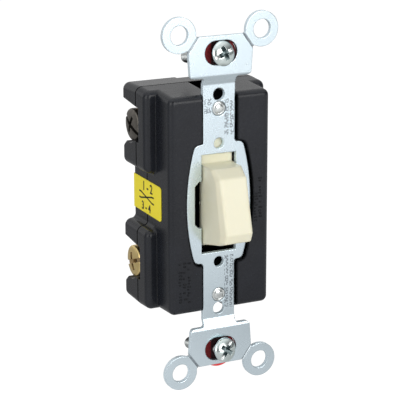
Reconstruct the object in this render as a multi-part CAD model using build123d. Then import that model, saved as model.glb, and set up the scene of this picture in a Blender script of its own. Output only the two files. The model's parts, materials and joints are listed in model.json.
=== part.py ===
from build123d import *
import os
from math import asin, cos, degrees, radians, sin

# Four-way toggle wall switch on a steel strap.
# Millimetres. X is to the viewer's right, Y runs from the front into the wall, Z is up.
# The origin lies on the front of the strap, midway between the two cover plate screw holes.

# ---- gaps ----
running_gap = 0.3
turning_clearance = 0.05
held_clearance = 0.02
recess_clearance = 0.1
overrun = 1.0
close_enough = 0.01

# ---- toggle lever ----
lever_half_width = 4.65
lever_bevel_width = 0.8
lever_edge_radius = 0.8
lever_throw_deg = 35.0
head_root_y = 0.5
head_top_z = 11.0
head_top_y = -5.0
head_brow = (-8.75, 8.95)
head_tip = [(-12.75, -5.6), (-11.6, -8.2), (-8.6, -9.3)]
head_root_low_z = -11.4
cheek_inset = 0.1
cheek_top_y = -4.4
cheek_brow = (-7.2, 8.0)
cheek_tip = [(-10.0, -6.2), (-9.5, -8.0), (-8.0, -9.2)]
wing_thickness = 1.3
wing_front_gap = 0.25
wing_end_gap = 1.0
hub_rear_y = 7.0
hub_half_height = 3.6
hub_lower_cut = 1.6
wing_root_rise = 0.4
pivot_y = 2.5
pivot_pin_radius = 0.75
pivot_pin_hold = 2.3
pivot_pin_chamfer = 0.2

# ---- strap and its standard hole pattern ----
strap_thickness = 1.25
strip_width = 9.55
plate_hole_spacing = 60.33
plate_hole_radius = 1.75
mount_slot_spacing = 83.34
mount_slot_width = 9.6
mount_slot_height = 6.6
rivet_spacing = 52.56
peek_hole_margin = 2.82
peek_hole_radius = 1.5
lever_slot_margin = 0.55
lever_slot_half_height = 13.9
side_notch_depth = 2.0
side_notch_half_height = 6.6
side_notch_chamfer = 1.3
oval_shoulder_margin = 0.8
oval_bulge = 1.65
oval_end_length = 2.8
oval_end_taper = 0.8
oval_corner_radius = 1.7
oval_root_radius = 0.8
strap_bend_radius = 0.7
ear_step = 1.28
ear_bend_margin = 1.085
ear_bend_length = 2.6
ear_shoulder_drop = 0.56
ear_shoulder_half_width = 9.0
ear_shoulder_radius = 1.2
ear_root_radius = 0.8
score_low = (9.51, 0.80)
score_high = (6.79, 4.53)
score_depth = 0.3
ring_centre = (12.17, 5.43)
ring_radius = 4.85
ring_hole_radius = 2.6
ring_neck_width = 4.5

# ---- rivets ----
rivet_shank_radius = 1.5
rivet_head_radius = 1.95
rivet_head_depth = 0.9
rivet_dome = 0.25
rivet_dome_shoulder = (1.07, 0.2)
rivet_rim_y = 0.15
rivet_tail_radius = 2.3
rivet_tail_height = 0.8
rivet_tube_radius = 0.9
rivet_tube_depth = 2.5
rivet_tail_chamfer = 0.4

# ---- housings ----
body_half_width = 15.0
body_end_margin = 4.02
body_front_y = -0.9
parting_y = 14.0
rear_shell_depth = 9.4
front_draft = 0.85
rear_draft = 0.3
parting_bevel = 0.2
body_edge_radius = 1.6
body_corner_radius = 1.8
rear_edge_radius = 1.3
strap_recess_gap = 0.35
shroud_rise = 3.2
shroud_front_y = 7.9
shroud_inner_z = 8.2
shroud_root = 2.0
shroud_slope = 0.3
shroud_edge_radius = 1.6
shroud_convex_radius = 2.0
shroud_concave_radius = 1.2
end_notch_half_width = 2.7
rear_channel_half_width = 2.7
rear_channel_depth = 2.6
front_wall = 2.0
side_wall = 2.8
cavity_half_height = 19.0
inner_corner_radius = 1.0
lever_well_margin = 0.65
pin_block_half_height = 4.5
pin_block_depth = 3.2
pin_block_end = 1.2
bay_floor_thickness = 3.4
bay_side_wall = 1.2

# ---- terminals ----
terminal_screw_depth = 4.8
terminal_end_margin = 10.65
terminal_screw_lift = 1.3
terminal_head_radius = 4.5
terminal_head_height = 2.4
terminal_head_shoulder = 0.5
terminal_head_rim = 1.1
terminal_head_bulge = 0.15
terminal_recess_depth = 1.1
terminal_slot_width = 1.2
terminal_cross_share = 1.2
terminal_point_chamfer = 0.5
terminal_shank_radius = 2.08
terminal_shank_length = 7.0
terminal_slot_deg = {"upper_left": 64, "lower_left": 110, "upper_right": 140, "lower_right": 25}
terminal_well_gap = 0.4
well_depth_in_body = 2.0
well_above_screw = 7.3
well_top_slope = 1.4
well_below_screw = 3.7
well_ramp_below_screw = 7.6
well_bend = (2.6, 1.9)
well_relief = 1.6
terminal_plate_thickness = 1.2
terminal_plate_half_height = 6.95
terminal_plate_rear = 3.1

# ---- contact mechanism ----
arm_lane_x = 8.0
arm_width = 4.4
arm_thickness = 0.9
arm_end_margin = 3.25
arm_corner_radius = 1.2
arm_end_gap = 0.6
arm_height_over_floor = 4.5
contact_end_margin = 2.0
contact_radius = 1.9
contact_height = 1.0
contact_edge_chamfer = 0.25
conductor_thickness = 0.8
fulcrum_half_width = 0.8
fulcrum_shoulder = 0.7
fulcrum_dimple_radius = 0.45
fulcrum_dimple_offset = 0.1
fulcrum_tip_gap = 0.25
blade_gap = 0.55
blade_neck_length = 2.8
blade_tab_height = 2.0
blade_tab_overlap = 0.4
foot_inner_x = 3.0
foot_margin = 2.0
pad_margin = 1.8
pad_side_margin = 0.4
jumper_width = 2.6
jumper_end_x = 4.5
jumper_overlap = 0.9
jumper_leg = 2.4
jumper_slope = 1.2
bridge_rise = 1.4
plunger_radius = 1.3
plunger_length = 3.0
plunger_gap = 0.4
plunger_show = 1.5
plunger_tip_chamfer = 0.8
drive_bar_thickness = 4.2
drive_bar_half_height = 2.1
drive_bar_end = 1.0
plunger_bore_floor = 0.8
spring_wire_radius = 0.16
spring_turns = 2.5
spring_end_gap = 0.03

# ---- mounting screws and washers ----
mount_screw_radius = 1.75
mount_screw_length = 20.0
mount_screw_chamfer = 0.9
mount_head_radius = 3.55
mount_head_height = 2.0
mount_head_rim = 0.55
mount_head_undercut = 0.35
mount_head_crown = (2.2, 0.45)
mount_recess_depth = 1.3
mount_slot_cut_width = 1.0
mount_cross_share = 1.2
mount_screw_droop_deg = 12.0
mount_screw_yaw_deg = 6.0
mount_screw_sag = 0.45
mount_head_lift = {"top": 0.95, "bottom": 2.2}
mount_slot_deg = {"top": 62, "bottom": 20}
washer_radius = 5.0
washer_thickness = 0.8
washer_offset = (-0.1, -0.25)
washer_hole_clearance = 0.08

# ---- label ----
label_thickness = 0.15
label_front_y = 4.7
label_rear_margin = 0.6
label_half_height = 4.85
label_corner_radius = 1.0

# ---- sizes that follow from the ones above ----
body_half_height = rivet_spacing / 2 + body_end_margin
parting_half_height = body_half_height + front_draft
end_notch_z = plate_hole_spacing / 2 - plate_hole_radius
terminal_screw_z = body_half_height - terminal_end_margin
arm_half_length = terminal_screw_z - arm_end_margin
contact_z = arm_half_length - contact_end_margin
lever_face_half_width = lever_half_width - lever_bevel_width
lever_slot_half_width = lever_half_width + lever_slot_margin
lever_well_half_width = lever_half_width + lever_well_margin
side_notch_half_width = lever_slot_half_width + side_notch_depth
oval_shoulder_half_width = side_notch_half_width + oval_shoulder_margin
oval_half_width = oval_shoulder_half_width + oval_bulge
oval_end_z = lever_slot_half_height + oval_end_length
peek_hole_z = lever_slot_half_height + peek_hole_margin
mount_slot_z = mount_slot_spacing / 2
ear_bend_start_z = plate_hole_spacing / 2 + plate_hole_radius + ear_bend_margin
ear_bend_end_z = ear_bend_start_z + ear_bend_length
ear_shoulder_z = ear_bend_end_z - ear_shoulder_drop
ear_rear_y = strap_thickness - ear_step
ring_z = mount_slot_z + ring_centre[1]
rear_y = parting_y + rear_shell_depth
rear_channel_y = rear_y - rear_channel_depth
shroud_half_width = body_half_width + shroud_rise
cavity_half_width = body_half_width - side_wall
cavity_front_y = strap_thickness + front_wall
well_floor_x = body_half_width - well_depth_in_body
bay_half_width = well_floor_x - bay_side_wall
bay_half_height = arm_half_length + arm_end_gap
bay_floor_y = rear_y - bay_floor_thickness
pivot_pin_half_length = lever_well_half_width + pivot_pin_hold
wing_front_y = strap_thickness + wing_front_gap
wing_rear_y = wing_front_y + wing_thickness
wing_end_z = cavity_half_height - wing_end_gap
terminal_screw_y = parting_y + terminal_screw_depth
terminal_plate_x = (well_floor_x, well_floor_x + terminal_plate_thickness)
terminal_seat_x = terminal_plate_x[1] + terminal_screw_lift
well_front_y = parting_y - well_relief
well_top_z = terminal_screw_z + well_above_screw
conductor_front_y = bay_floor_y - conductor_thickness
arm_fulcrum_y = bay_floor_y - arm_height_over_floor
arm_front_y = arm_fulcrum_y - arm_thickness
arm_inner_x = arm_lane_x - arm_width / 2
open_contact_gap = conductor_front_y - conductor_thickness - arm_fulcrum_y - contact_height
arm_tilt_deg = degrees(asin((open_contact_gap - running_gap) / (contact_z + contact_radius)))
blade_x = arm_lane_x + arm_width / 2 + blade_gap
plunger_reach = arm_front_y - pivot_y - plunger_gap
drive_bar_far = plunger_reach - plunger_show
drive_bar_near = drive_bar_far - drive_bar_thickness
plunger_seat = drive_bar_near + plunger_bore_floor

os.makedirs("parts", exist_ok=True)


def save(node, shape):
    export_step(shape, f"parts/{node}.step")


def half_turn(shape):
    """The shape turned half a turn about the front-to-back axis."""
    return Rot(0, 180, 0) * shape


def box_between(low, high):
    """Box from two opposite corners, given in any order."""
    size = [abs(b - a) for a, b in zip(low, high)]
    centre = [(a + b) / 2 for a, b in zip(low, high)]
    return Pos(*centre) * Box(*size)


def front_plane(y):
    """Sketch plane facing the viewer: local x is X, local y is Z, normal is -Y."""
    return Plane(origin=(0, y, 0), x_dir=(1, 0, 0), z_dir=(0, -1, 0))


def side_plane(x):
    """Sketch plane across the width: local x is Y, local y is Z, normal is +X."""
    return Plane(origin=(x, 0, 0), x_dir=(0, 1, 0), z_dir=(1, 0, 0))


def from_front(sketch, y_front, y_rear):
    """Extrude a front-plane sketch from y_front back to y_rear."""
    return extrude(front_plane(y_rear) * sketch, y_rear - y_front)


def across(sketch, x_low, x_high):
    """Extrude a (Y, Z) sketch from x_low to x_high."""
    return extrude(side_plane(x_low) * sketch, x_high - x_low)


def bore_y(x, z, radius, y_low, y_high):
    return Pos(x, (y_low + y_high) / 2, z) * Rot(90, 0, 0) * Cylinder(radius, y_high - y_low)


def bore_x(y, z, radius, x_low, x_high):
    low, high = sorted((x_low, x_high))
    return Pos((low + high) / 2, y, z) * Rot(0, 90, 0) * Cylinder(radius, high - low)


def polygon(points):
    return make_face(Polyline(*points, close=True))


def rounded_box_outline(half_width, half_height, radius):
    outline = Rectangle(2 * half_width, 2 * half_height)
    return fillet(outline.vertices(), radius)


# ---------------------------------------------------------------- strap
def oval_outline(grow=0.0):
    """The wide middle of the strap, grown outward by a margin."""
    side = oval_half_width + grow
    shoulder = oval_shoulder_half_width + grow
    tip = shoulder - oval_end_taper
    high = lever_slot_half_height
    end = oval_end_z + grow
    edge = (
        ThreePointArc((shoulder, -high), (side, 0), (shoulder, high))
        + Polyline((shoulder, high), (tip, end), (-tip, end), (-shoulder, high))
        + ThreePointArc((-shoulder, high), (-side, 0), (-shoulder, -high))
        + Polyline((-shoulder, -high), (-tip, -end), (tip, -end), (shoulder, -high))
    )
    face = make_face(edge)
    corners = [v for v in face.vertices() if abs(abs(v.Y) - end) < close_enough]
    return fillet(corners, oval_corner_radius + grow)


def strip_outline(half_length, grow=0.0):
    """Strip and oval together, with rounded inner corners where they meet."""
    middle = Rectangle(strip_width + 2 * grow, 2 * half_length) + oval_outline(grow)
    inner = [
        v for v in middle.vertices()
        if abs(abs(v.X) - strip_width / 2 - grow) < close_enough
        and abs(v.Y) < oval_end_z + grow + close_enough
    ]
    return fillet(inner, oval_root_radius - grow)


def score_points():
    return [(x, mount_slot_z + rise) for x, rise in (score_low, score_high)]


def ear_outline():
    """Top ear: shoulders, sloped score lines and the straight outer edge."""
    low, high = score_points()
    shoulder = ear_shoulder_half_width
    ear = polygon([
        (-shoulder, ear_shoulder_z), (shoulder, ear_shoulder_z), low, high,
        (-high[0], high[1]), (-low[0], low[1]),
    ])
    rounded = [v for v in ear.vertices() if abs(v.Y - ear_shoulder_z) < close_enough]
    ear = fillet(rounded, ear_shoulder_radius)
    neck_middle_z = (ear_bend_start_z + ear_bend_end_z) / 2
    ear = ear + Pos(0, neck_middle_z) * Rectangle(strip_width, ear_bend_length + overrun)
    inner = [
        v for v in ear.vertices()
        if abs(abs(v.X) - strip_width / 2) < close_enough and abs(v.Y - ear_shoulder_z) < close_enough
    ]
    return fillet(inner, ear_root_radius)


def plaster_ring():
    """Break-off ring on the right of the top ear."""
    low, high = [Vector(*point) for point in score_points()]
    middle = (low + high) / 2
    lean = Vector(ring_centre[0], ring_z) - middle
    angle = Vector(1, 0).get_signed_angle(lean, Vector(0, 0, 1))
    neck = Pos(lean.length / 2, 0) * Rectangle(lean.length, ring_neck_width)
    ring = Circle(ring_radius) - Circle(ring_hole_radius)
    neck = Pos(middle.X, middle.Y) * Rot(0, 0, angle) * neck
    centred = Pos(ring_centre[0], ring_z)
    return neck - centred * Circle(ring_radius - overrun) + centred * ring


def ear_with_rings():
    ring = plaster_ring()
    return ear_outline() + ring + mirror(ring, Plane.YZ)


def strap_side_profile():
    """Side view of the sheet: middle strip, offset bends and ears, in (Y, Z)."""
    far = ring_z + ring_radius + overrun
    front = [
        (-ear_step, -far), (-ear_step, -ear_bend_end_z), (0, -ear_bend_start_z),
        (0, ear_bend_start_z), (-ear_step, ear_bend_end_z), (-ear_step, far),
    ]
    rear = [(y + strap_thickness, z) for y, z in reversed(front)]
    face = polygon(front + rear)
    bends = [v for v in face.vertices() if abs(v.Y) < far - close_enough]
    return fillet(bends, strap_bend_radius)


def score_groove(face_y):
    """V-groove across the neck of the top right ring, where it snaps off."""
    low, high = [Vector(*point) for point in score_points()]
    middle = (low + high) / 2
    along = high - low
    angle = Vector(1, 0).get_signed_angle(along, Vector(0, 0, 1))
    side = score_depth * 2 ** 0.5
    bar = Rot(45, 0, 0) * Box(along.length + 2 * overrun, side, side)
    return Pos(middle.X, face_y, middle.Y) * Rot(0, -angle, 0) * bar


def opening_outline():
    """Lever slot with a notch in each long side."""
    slot = Rectangle(2 * lever_slot_half_width, 2 * lever_slot_half_height)
    notch = Rectangle(2 * side_notch_half_width, 2 * side_notch_half_height)
    opening = slot + notch
    corners = [v for v in opening.vertices() if abs(abs(v.X) - side_notch_half_width) < close_enough]
    return chamfer(corners, side_notch_chamfer)


def mounting_strap():
    ear = ear_with_rings()
    outline = strip_outline(ear_bend_start_z + overrun) + ear + Rot(0, 0, 180) * ear
    outline = outline - opening_outline()
    for end in (1, -1):
        outline = outline - Pos(0, end * plate_hole_spacing / 2) * Circle(plate_hole_radius)
        outline = outline - Pos(0, end * peek_hole_z) * Circle(peek_hole_radius)
        outline = outline - Pos(0, end * rivet_spacing / 2) * Circle(rivet_shank_radius + turning_clearance)
        outline = outline - Pos(0, end * mount_slot_z) * SlotOverall(mount_slot_width, mount_slot_height)
    plan = from_front(outline, -ear_step - overrun, strap_thickness + overrun)
    reach = ring_centre[0] + ring_radius + overrun
    strap = plan & across(strap_side_profile(), -reach, reach)
    for face_y in (-ear_step, ear_rear_y):
        right = score_groove(face_y)
        for groove in (right, mirror(right, Plane.YZ)):
            strap = strap - groove - mirror(groove, Plane.XY)
    for end in (1, -1):
        strap = strap - rivet_seat(end)
    return strap


# ---------------------------------------------------------------- rivets
def rivet_seat(end):
    """Round seat in the strap for a rivet head."""
    z = end * rivet_spacing / 2
    return bore_y(0, z, rivet_head_radius + recess_clearance, -overrun, rivet_head_depth)


def rivet_bore(end, y_low, y_high):
    """Hole for a rivet's shank through a housing."""
    return bore_y(0, end * rivet_spacing / 2, rivet_shank_radius + turning_clearance, y_low, y_high)


def assembly_rivet(end):
    """Rivet from the strap through both housings, with a tubular tail in the rear channel."""
    tail = rear_channel_y + rivet_tail_height
    shoulder_radius, shoulder_rise = rivet_dome_shoulder
    profile = polygon([
        (0, -rivet_dome), (shoulder_radius, -shoulder_rise), (rivet_head_radius, rivet_rim_y),
        (rivet_head_radius, rivet_head_depth), (rivet_shank_radius, rivet_head_depth),
        (rivet_shank_radius, rear_channel_y), (rivet_tail_radius, rear_channel_y),
        (rivet_tail_radius - rivet_tail_chamfer, tail), (rivet_tube_radius, tail),
        (rivet_tube_radius, tail - rivet_tube_depth), (0, tail - rivet_tube_depth),
    ])
    return Pos(0, 0, end * rivet_spacing / 2) * revolve(profile, Axis.Y)


# ---------------------------------------------------------------- housings
def shell_half_height(y):
    """Half height of the shells, which both narrow away from the parting line."""
    if y > parting_y:
        return parting_half_height - rear_draft * (y - parting_y) / rear_shell_depth
    return parting_half_height - front_draft * (parting_y - y) / (parting_y - body_front_y)


def drafted(outline, y_front, y_rear):
    """Loft an outline, given as a function of its half height, between two depths."""
    ends = [front_plane(y) * outline(shell_half_height(y)) for y in (y_rear, y_front)]
    return loft(ends, ruled=True)


def body_outline(half_height):
    return rounded_box_outline(body_half_width, half_height, body_corner_radius)


def shroud_outline(half_height):
    """Side terminal shroud, seen from the front, on the upper right."""
    root = body_half_width - shroud_root
    foot_z = shroud_inner_z - shroud_slope
    face = polygon([
        (root, half_height), (shroud_half_width, half_height),
        (shroud_half_width, shroud_inner_z), (body_half_width, foot_z),
        (body_half_width, foot_z - shroud_root), (root, foot_z - shroud_root),
    ])
    outer = [v for v in face.vertices() if v.X > shroud_half_width - close_enough]
    face = fillet(outer, shroud_convex_radius)
    inner = [
        v for v in face.vertices()
        if abs(v.X - body_half_width) < close_enough and abs(v.Y - foot_z) < close_enough
    ]
    return fillet(inner, shroud_concave_radius)


def four_shrouds(y_front, y_rear, round_front):
    shroud = drafted(shroud_outline, y_front, y_rear)
    if round_front:
        rim = shroud.faces().sort_by(Axis.Y)[0].edges()
        rim = [e for e in rim if e.center().X > body_half_width - shroud_root / 4]
        shroud = fillet(rim, shroud_edge_radius)
    pair = shroud + mirror(shroud, Plane.YZ)
    return pair + mirror(pair, Plane.XY)


def bevel_parting(shell):
    """Break the outer edge where the two shells meet, which shows as a fine groove."""
    face = [f for f in shell.faces() if abs(f.center().Y - parting_y) < close_enough]
    return chamfer(face[0].outer_wire().edges(), parting_bevel)


def end_notch(end):
    """Slot in the end of the front housing that lets a cover plate screw pass."""
    z = end * (end_notch_z + end_notch_half_width)
    front = body_front_y - overrun
    slot = bore_y(0, z, end_notch_half_width, front, parting_y)
    return slot + box_between(
        (-end_notch_half_width, front, z),
        (end_notch_half_width, parting_y, end * (parting_half_height + overrun)))


def with_lower_copy(upper_cut):
    """An upper terminal's cut with the same cut at the lower terminal."""
    return upper_cut + Pos(0, 0, -2 * terminal_screw_z) * upper_cut


def front_housing():
    body = drafted(body_outline, body_front_y, parting_y)
    front_rim = body.faces().sort_by(Axis.Y)[0].edges()
    body = fillet(front_rim, body_edge_radius)
    body = bevel_parting(body + four_shrouds(shroud_front_y, parting_y, True))
    recess = strip_outline(parting_half_height + overrun, strap_recess_gap)
    body = body - from_front(recess, body_front_y - overrun, strap_thickness)
    cavity = rounded_box_outline(cavity_half_width, cavity_half_height, inner_corner_radius)
    body = body - from_front(cavity, cavity_front_y, parting_y)
    well = rounded_box_outline(lever_well_half_width, cavity_half_height, inner_corner_radius)
    body = body - from_front(well, 0, cavity_front_y)
    block_end = pivot_pin_half_length + pin_block_end
    for side in (1, -1):
        body = body + box_between(
            (side * lever_well_half_width, strap_thickness, -pin_block_half_height),
            (side * block_end, pivot_y + pin_block_depth, pin_block_half_height))
    pin_bore_end = block_end + overrun
    body = body - bore_x(
        pivot_y, 0, pivot_pin_radius + held_clearance, -pin_bore_end, pin_bore_end)
    for end in (1, -1):
        body = body - end_notch(end) - rivet_bore(end, 0, parting_y + overrun)
    wells = with_lower_copy(across(well_profile(), -shroud_half_width - overrun, -body_half_width))
    return body - wells - half_turn(wells)


def well_profile():
    """Side view of the upper left terminal well with its wire ramp, in (Y, Z)."""
    low = terminal_screw_z - well_below_screw
    ramp_end = terminal_screw_z - well_ramp_below_screw
    front_top = (well_front_y, well_top_z - well_top_slope)
    far = rear_y + overrun
    bend = (terminal_screw_y + well_bend[0], low - well_bend[1])
    edge = (
        Line((well_front_y, low), (terminal_screw_y, low))
        + ThreePointArc((terminal_screw_y, low), bend, (rear_y, ramp_end))
        + Polyline((rear_y, ramp_end), (far, ramp_end), (far, well_top_z), front_top, (well_front_y, low))
    )
    return make_face(edge)


def wells_on_left():
    """Both wells of the left side; the right side has the same pair turned half a turn."""
    outside = -shroud_half_width - overrun
    upper = across(well_profile(), outside, -well_floor_x)
    head_radius = terminal_head_radius + terminal_well_gap
    shank_radius = terminal_shank_radius + terminal_well_gap
    shank_end = -well_floor_x + terminal_shank_length
    upper = upper + bore_x(terminal_screw_y, terminal_screw_z, head_radius, outside, -well_floor_x)
    upper = upper + bore_x(
        terminal_screw_y, terminal_screw_z, shank_radius, -well_floor_x - overrun, shank_end)
    return with_lower_copy(upper)


def rear_housing():
    body = drafted(body_outline, parting_y, rear_y)
    body = body + four_shrouds(parting_y, rear_y, False)
    rear_rim = body.faces().sort_by(Axis.Y)[-1].outer_wire().edges()
    body = bevel_parting(fillet(rear_rim, rear_edge_radius))
    body = body - box_between(
        (-rear_channel_half_width, rear_channel_y, -parting_half_height - overrun),
        (rear_channel_half_width, rear_y + overrun, parting_half_height + overrun))
    wells = wells_on_left()
    body = body - wells - half_turn(wells)
    bay = rounded_box_outline(bay_half_width, bay_half_height, inner_corner_radius)
    body = body - from_front(bay, parting_y, bay_floor_y)
    for end in (1, -1):
        body = body - rivet_bore(end, parting_y - overrun, rear_y)
        for side in (1, -1):
            body = body - terminal_plate_body(side, end, recess_clearance, True)
    return body


# ---------------------------------------------------------------- lever
def lever_head():
    """Wedge-shaped head: a narrower face, bevelled back to the full width, with soft edges."""
    face = polygon([
        (head_root_y, head_top_z), (head_top_y, head_top_z), head_brow, *head_tip,
        (head_root_y, head_root_low_z),
    ])
    cheek = polygon([
        (head_root_y, head_top_z - cheek_inset), (cheek_top_y, head_top_z - cheek_inset), cheek_brow,
        *cheek_tip, (head_root_y, head_root_low_z + cheek_inset),
    ])
    head = across(face, -lever_face_half_width, lever_face_half_width)
    for side in (1, -1):
        bevel = loft([
            side_plane(side * lever_face_half_width) * face,
            side_plane(side * lever_half_width) * cheek,
        ], ruled=True)
        head = head + bevel
    soft = [e for e in head.edges() if e.center().Y < cheek_top_y - cheek_inset]
    return fillet(soft, lever_edge_radius)


def swung(y, z):
    """A side-view point turned about the pivot from the lever's far position to its rest."""
    angle = radians(lever_throw_deg)
    return (
        pivot_y + (y - pivot_y) * cos(angle) - z * sin(angle),
        (y - pivot_y) * sin(angle) + z * cos(angle),
    )


def wings_profile():
    """Side view of the hub and the two wings that slide past behind the strap, in (Y, Z)."""
    root_z = head_top_z
    wing = [
        (wing_front_y, root_z), (wing_front_y, wing_end_z), (wing_rear_y, wing_end_z), (wing_rear_y, root_z),
    ]
    far_wing = [swung(y, -z) for y, z in wing]
    return polygon([
        (wing_front_y, wing_end_z), (wing_front_y, root_z), (0, root_z),
        (0, head_root_low_z), (wing_rear_y + wing_root_rise, head_root_low_z - head_root_y), *far_wing,
        (hub_rear_y, hub_lower_cut - hub_half_height), (hub_rear_y, hub_half_height),
        (wing_rear_y, root_z + head_root_y), (wing_rear_y, wing_end_z),
    ])


def along_drive_bar(shape):
    """Place a shape drawn with +Y along the lever's drive bar, measured from the pivot."""
    return Pos(0, pivot_y, 0) * Rot(lever_throw_deg / 2, 0, 0) * shape


def toggle_lever():
    lever = across(wings_profile(), -lever_half_width, lever_half_width) + lever_head()
    tongue = box_between(
        (-lever_half_width, 0, -drive_bar_half_height),
        (lever_half_width, drive_bar_far, drive_bar_half_height))
    bar_half_length = arm_lane_x + plunger_radius + drive_bar_end
    bar = box_between(
        (-bar_half_length, drive_bar_near, -drive_bar_half_height),
        (bar_half_length, drive_bar_far, drive_bar_half_height))
    for side in (1, -1):
        bar = bar - bore_y(
            side * arm_lane_x, 0, plunger_radius + turning_clearance, plunger_seat, drive_bar_far + overrun)
    lever = lever + along_drive_bar(tongue) + along_drive_bar(bar)
    return lever - bore_x(
        pivot_y, 0, pivot_pin_radius + turning_clearance, -lever_well_half_width, lever_well_half_width)


def lever_pivot_pin():
    half = pivot_pin_half_length - held_clearance
    pin = bore_x(pivot_y, 0, pivot_pin_radius, -half, half)
    return chamfer(pin.edges().filter_by(GeomType.CIRCLE), pivot_pin_chamfer)


def contact_plunger(side):
    plunger = bore_y(side * arm_lane_x, 0, plunger_radius, plunger_reach - plunger_length, plunger_reach)
    tip = plunger.edges().filter_by(GeomType.CIRCLE).sort_by(Axis.Y)[-1]
    return along_drive_bar(chamfer(tip, plunger_tip_chamfer))


def plunger_spring(side):
    """Short compression coil between the bore's floor and the plunger."""
    start = plunger_seat + spring_wire_radius + spring_end_gap
    end = plunger_reach - plunger_length - spring_wire_radius - spring_end_gap
    coil_radius = plunger_radius - spring_wire_radius - recess_clearance
    coil = Helix(pitch=(end - start) / spring_turns, height=end - start, radius=coil_radius)
    wire = sweep(Plane(coil @ 0, z_dir=coil % 0) * Circle(spring_wire_radius), path=coil)
    return along_drive_bar(Pos(side * arm_lane_x, start, 0) * Rot(-90, 0, 0) * wire)


# ---------------------------------------------------------------- contact arms
def tilted_arm(shape):
    """Tilt a shape about the fulcrum of the contact arms, top end rearward at rest."""
    return Pos(0, arm_fulcrum_y, 0) * Rot(-arm_tilt_deg, 0, 0) * Pos(0, -arm_fulcrum_y, 0) * shape


def moving_contact_arm(side):
    """Rocking strip with rounded ends and a dimple over the fulcrum."""
    outline = RectangleRounded(arm_width, 2 * arm_half_length, arm_corner_radius)
    strip = from_front(Pos(side * arm_lane_x, 0) * outline, arm_front_y, arm_fulcrum_y)
    dimple = bore_x(
        arm_fulcrum_y + fulcrum_dimple_offset, 0, fulcrum_dimple_radius,
        side * (arm_inner_x - overrun), side * (blade_x + overrun))
    return tilted_arm(strip - dimple)


def contact_button(side, end, y_front, height, bevelled_end):
    """Silver button; its bevelled face is the front (1) or the rear (-1)."""
    button = bore_y(side * arm_lane_x, end * contact_z, contact_radius, y_front, y_front + height)
    rims = button.edges().filter_by(GeomType.CIRCLE).sort_by(Axis.Y)
    return chamfer(rims[0] if bevelled_end > 0 else rims[-1], contact_edge_chamfer)


def moving_contacts(side):
    upper, lower = [contact_button(side, end, arm_fulcrum_y, contact_height, -1) for end in (1, -1)]
    return tilted_arm(upper + lower)


def stationary_contacts():
    front = conductor_front_y - conductor_thickness
    buttons = [
        contact_button(side, end, front, conductor_thickness, 1) for side in (1, -1) for end in (1, -1)
    ]
    return buttons[0] + buttons[1] + buttons[2] + buttons[3]


# ---------------------------------------------------------------- terminals and conductors
def span(side, end, low, high, grow):
    """Box given for the +X, +Z corner, grown by a margin and moved to another corner."""
    return box_between(
        (side * (low[0] - grow), low[1] - grow, end * (low[2] - grow)),
        (side * (high[0] + grow), high[1] + grow, end * (high[2] + grow)))


def terminal_plate_body(side, end, grow=0.0, open_to_parting=False):
    """Terminal plate with its inner conductor: a fulcrum blade on top, a contact foot below."""
    plate_low = terminal_screw_z - terminal_plate_half_height
    plate_high = terminal_screw_z + terminal_plate_half_height
    front = parting_y if open_to_parting else parting_y + running_gap
    plate_rear = terminal_screw_y + terminal_plate_rear
    inner_x, outer_x = terminal_plate_x
    plate = span(side, end, (inner_x, front, plate_low), (outer_x, plate_rear, plate_high), grow)
    if end < 0:
        foot_front = parting_y if open_to_parting else conductor_front_y
        foot = span(
            side, end, (foot_inner_x, foot_front, plate_low),
            (inner_x, bay_floor_y, contact_z + foot_margin), grow)
        return plate + foot
    tab_front = parting_y if open_to_parting else parting_y + recess_clearance
    tab_rear = parting_y + recess_clearance + conductor_thickness
    tab_low = bay_half_height - blade_tab_overlap
    tab_high = tab_low + blade_tab_height
    neck_rear = arm_fulcrum_y + fulcrum_dimple_radius
    blade_outer_x = blade_x + conductor_thickness
    tab = span(side, end, (blade_x, tab_front, tab_low), (inner_x, tab_rear, tab_high), grow)
    neck = span(
        side, end, (blade_x, tab_front, tab_low - blade_neck_length),
        (blade_outer_x, neck_rear, tab_high), grow)
    blade = span(
        side, end, (blade_x, neck_rear - recess_clearance, -fulcrum_half_width),
        (blade_outer_x, bay_floor_y, tab_low), grow)
    fulcrum = span(
        side, end, (arm_inner_x, arm_fulcrum_y + fulcrum_shoulder, -fulcrum_half_width),
        (blade_x, bay_floor_y, fulcrum_half_width), grow)
    return plate + tab + neck + blade + fulcrum


def terminal_plate(side, end):
    plate = terminal_plate_body(side, end)
    if end > 0:
        low, high = sorted((side * arm_inner_x, side * (blade_x + recess_clearance)))
        shoulder = arm_fulcrum_y + fulcrum_shoulder
        knife = polygon([
            (arm_fulcrum_y + fulcrum_tip_gap, 0), (shoulder, fulcrum_half_width),
            (shoulder, -fulcrum_half_width),
        ])
        plate = plate + across(knife, low, high)
    return plate - bore_x(
        terminal_screw_y, end * terminal_screw_z, terminal_shank_radius + turning_clearance,
        side * (terminal_plate_x[0] - overrun), side * (terminal_plate_x[1] + overrun))


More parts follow.
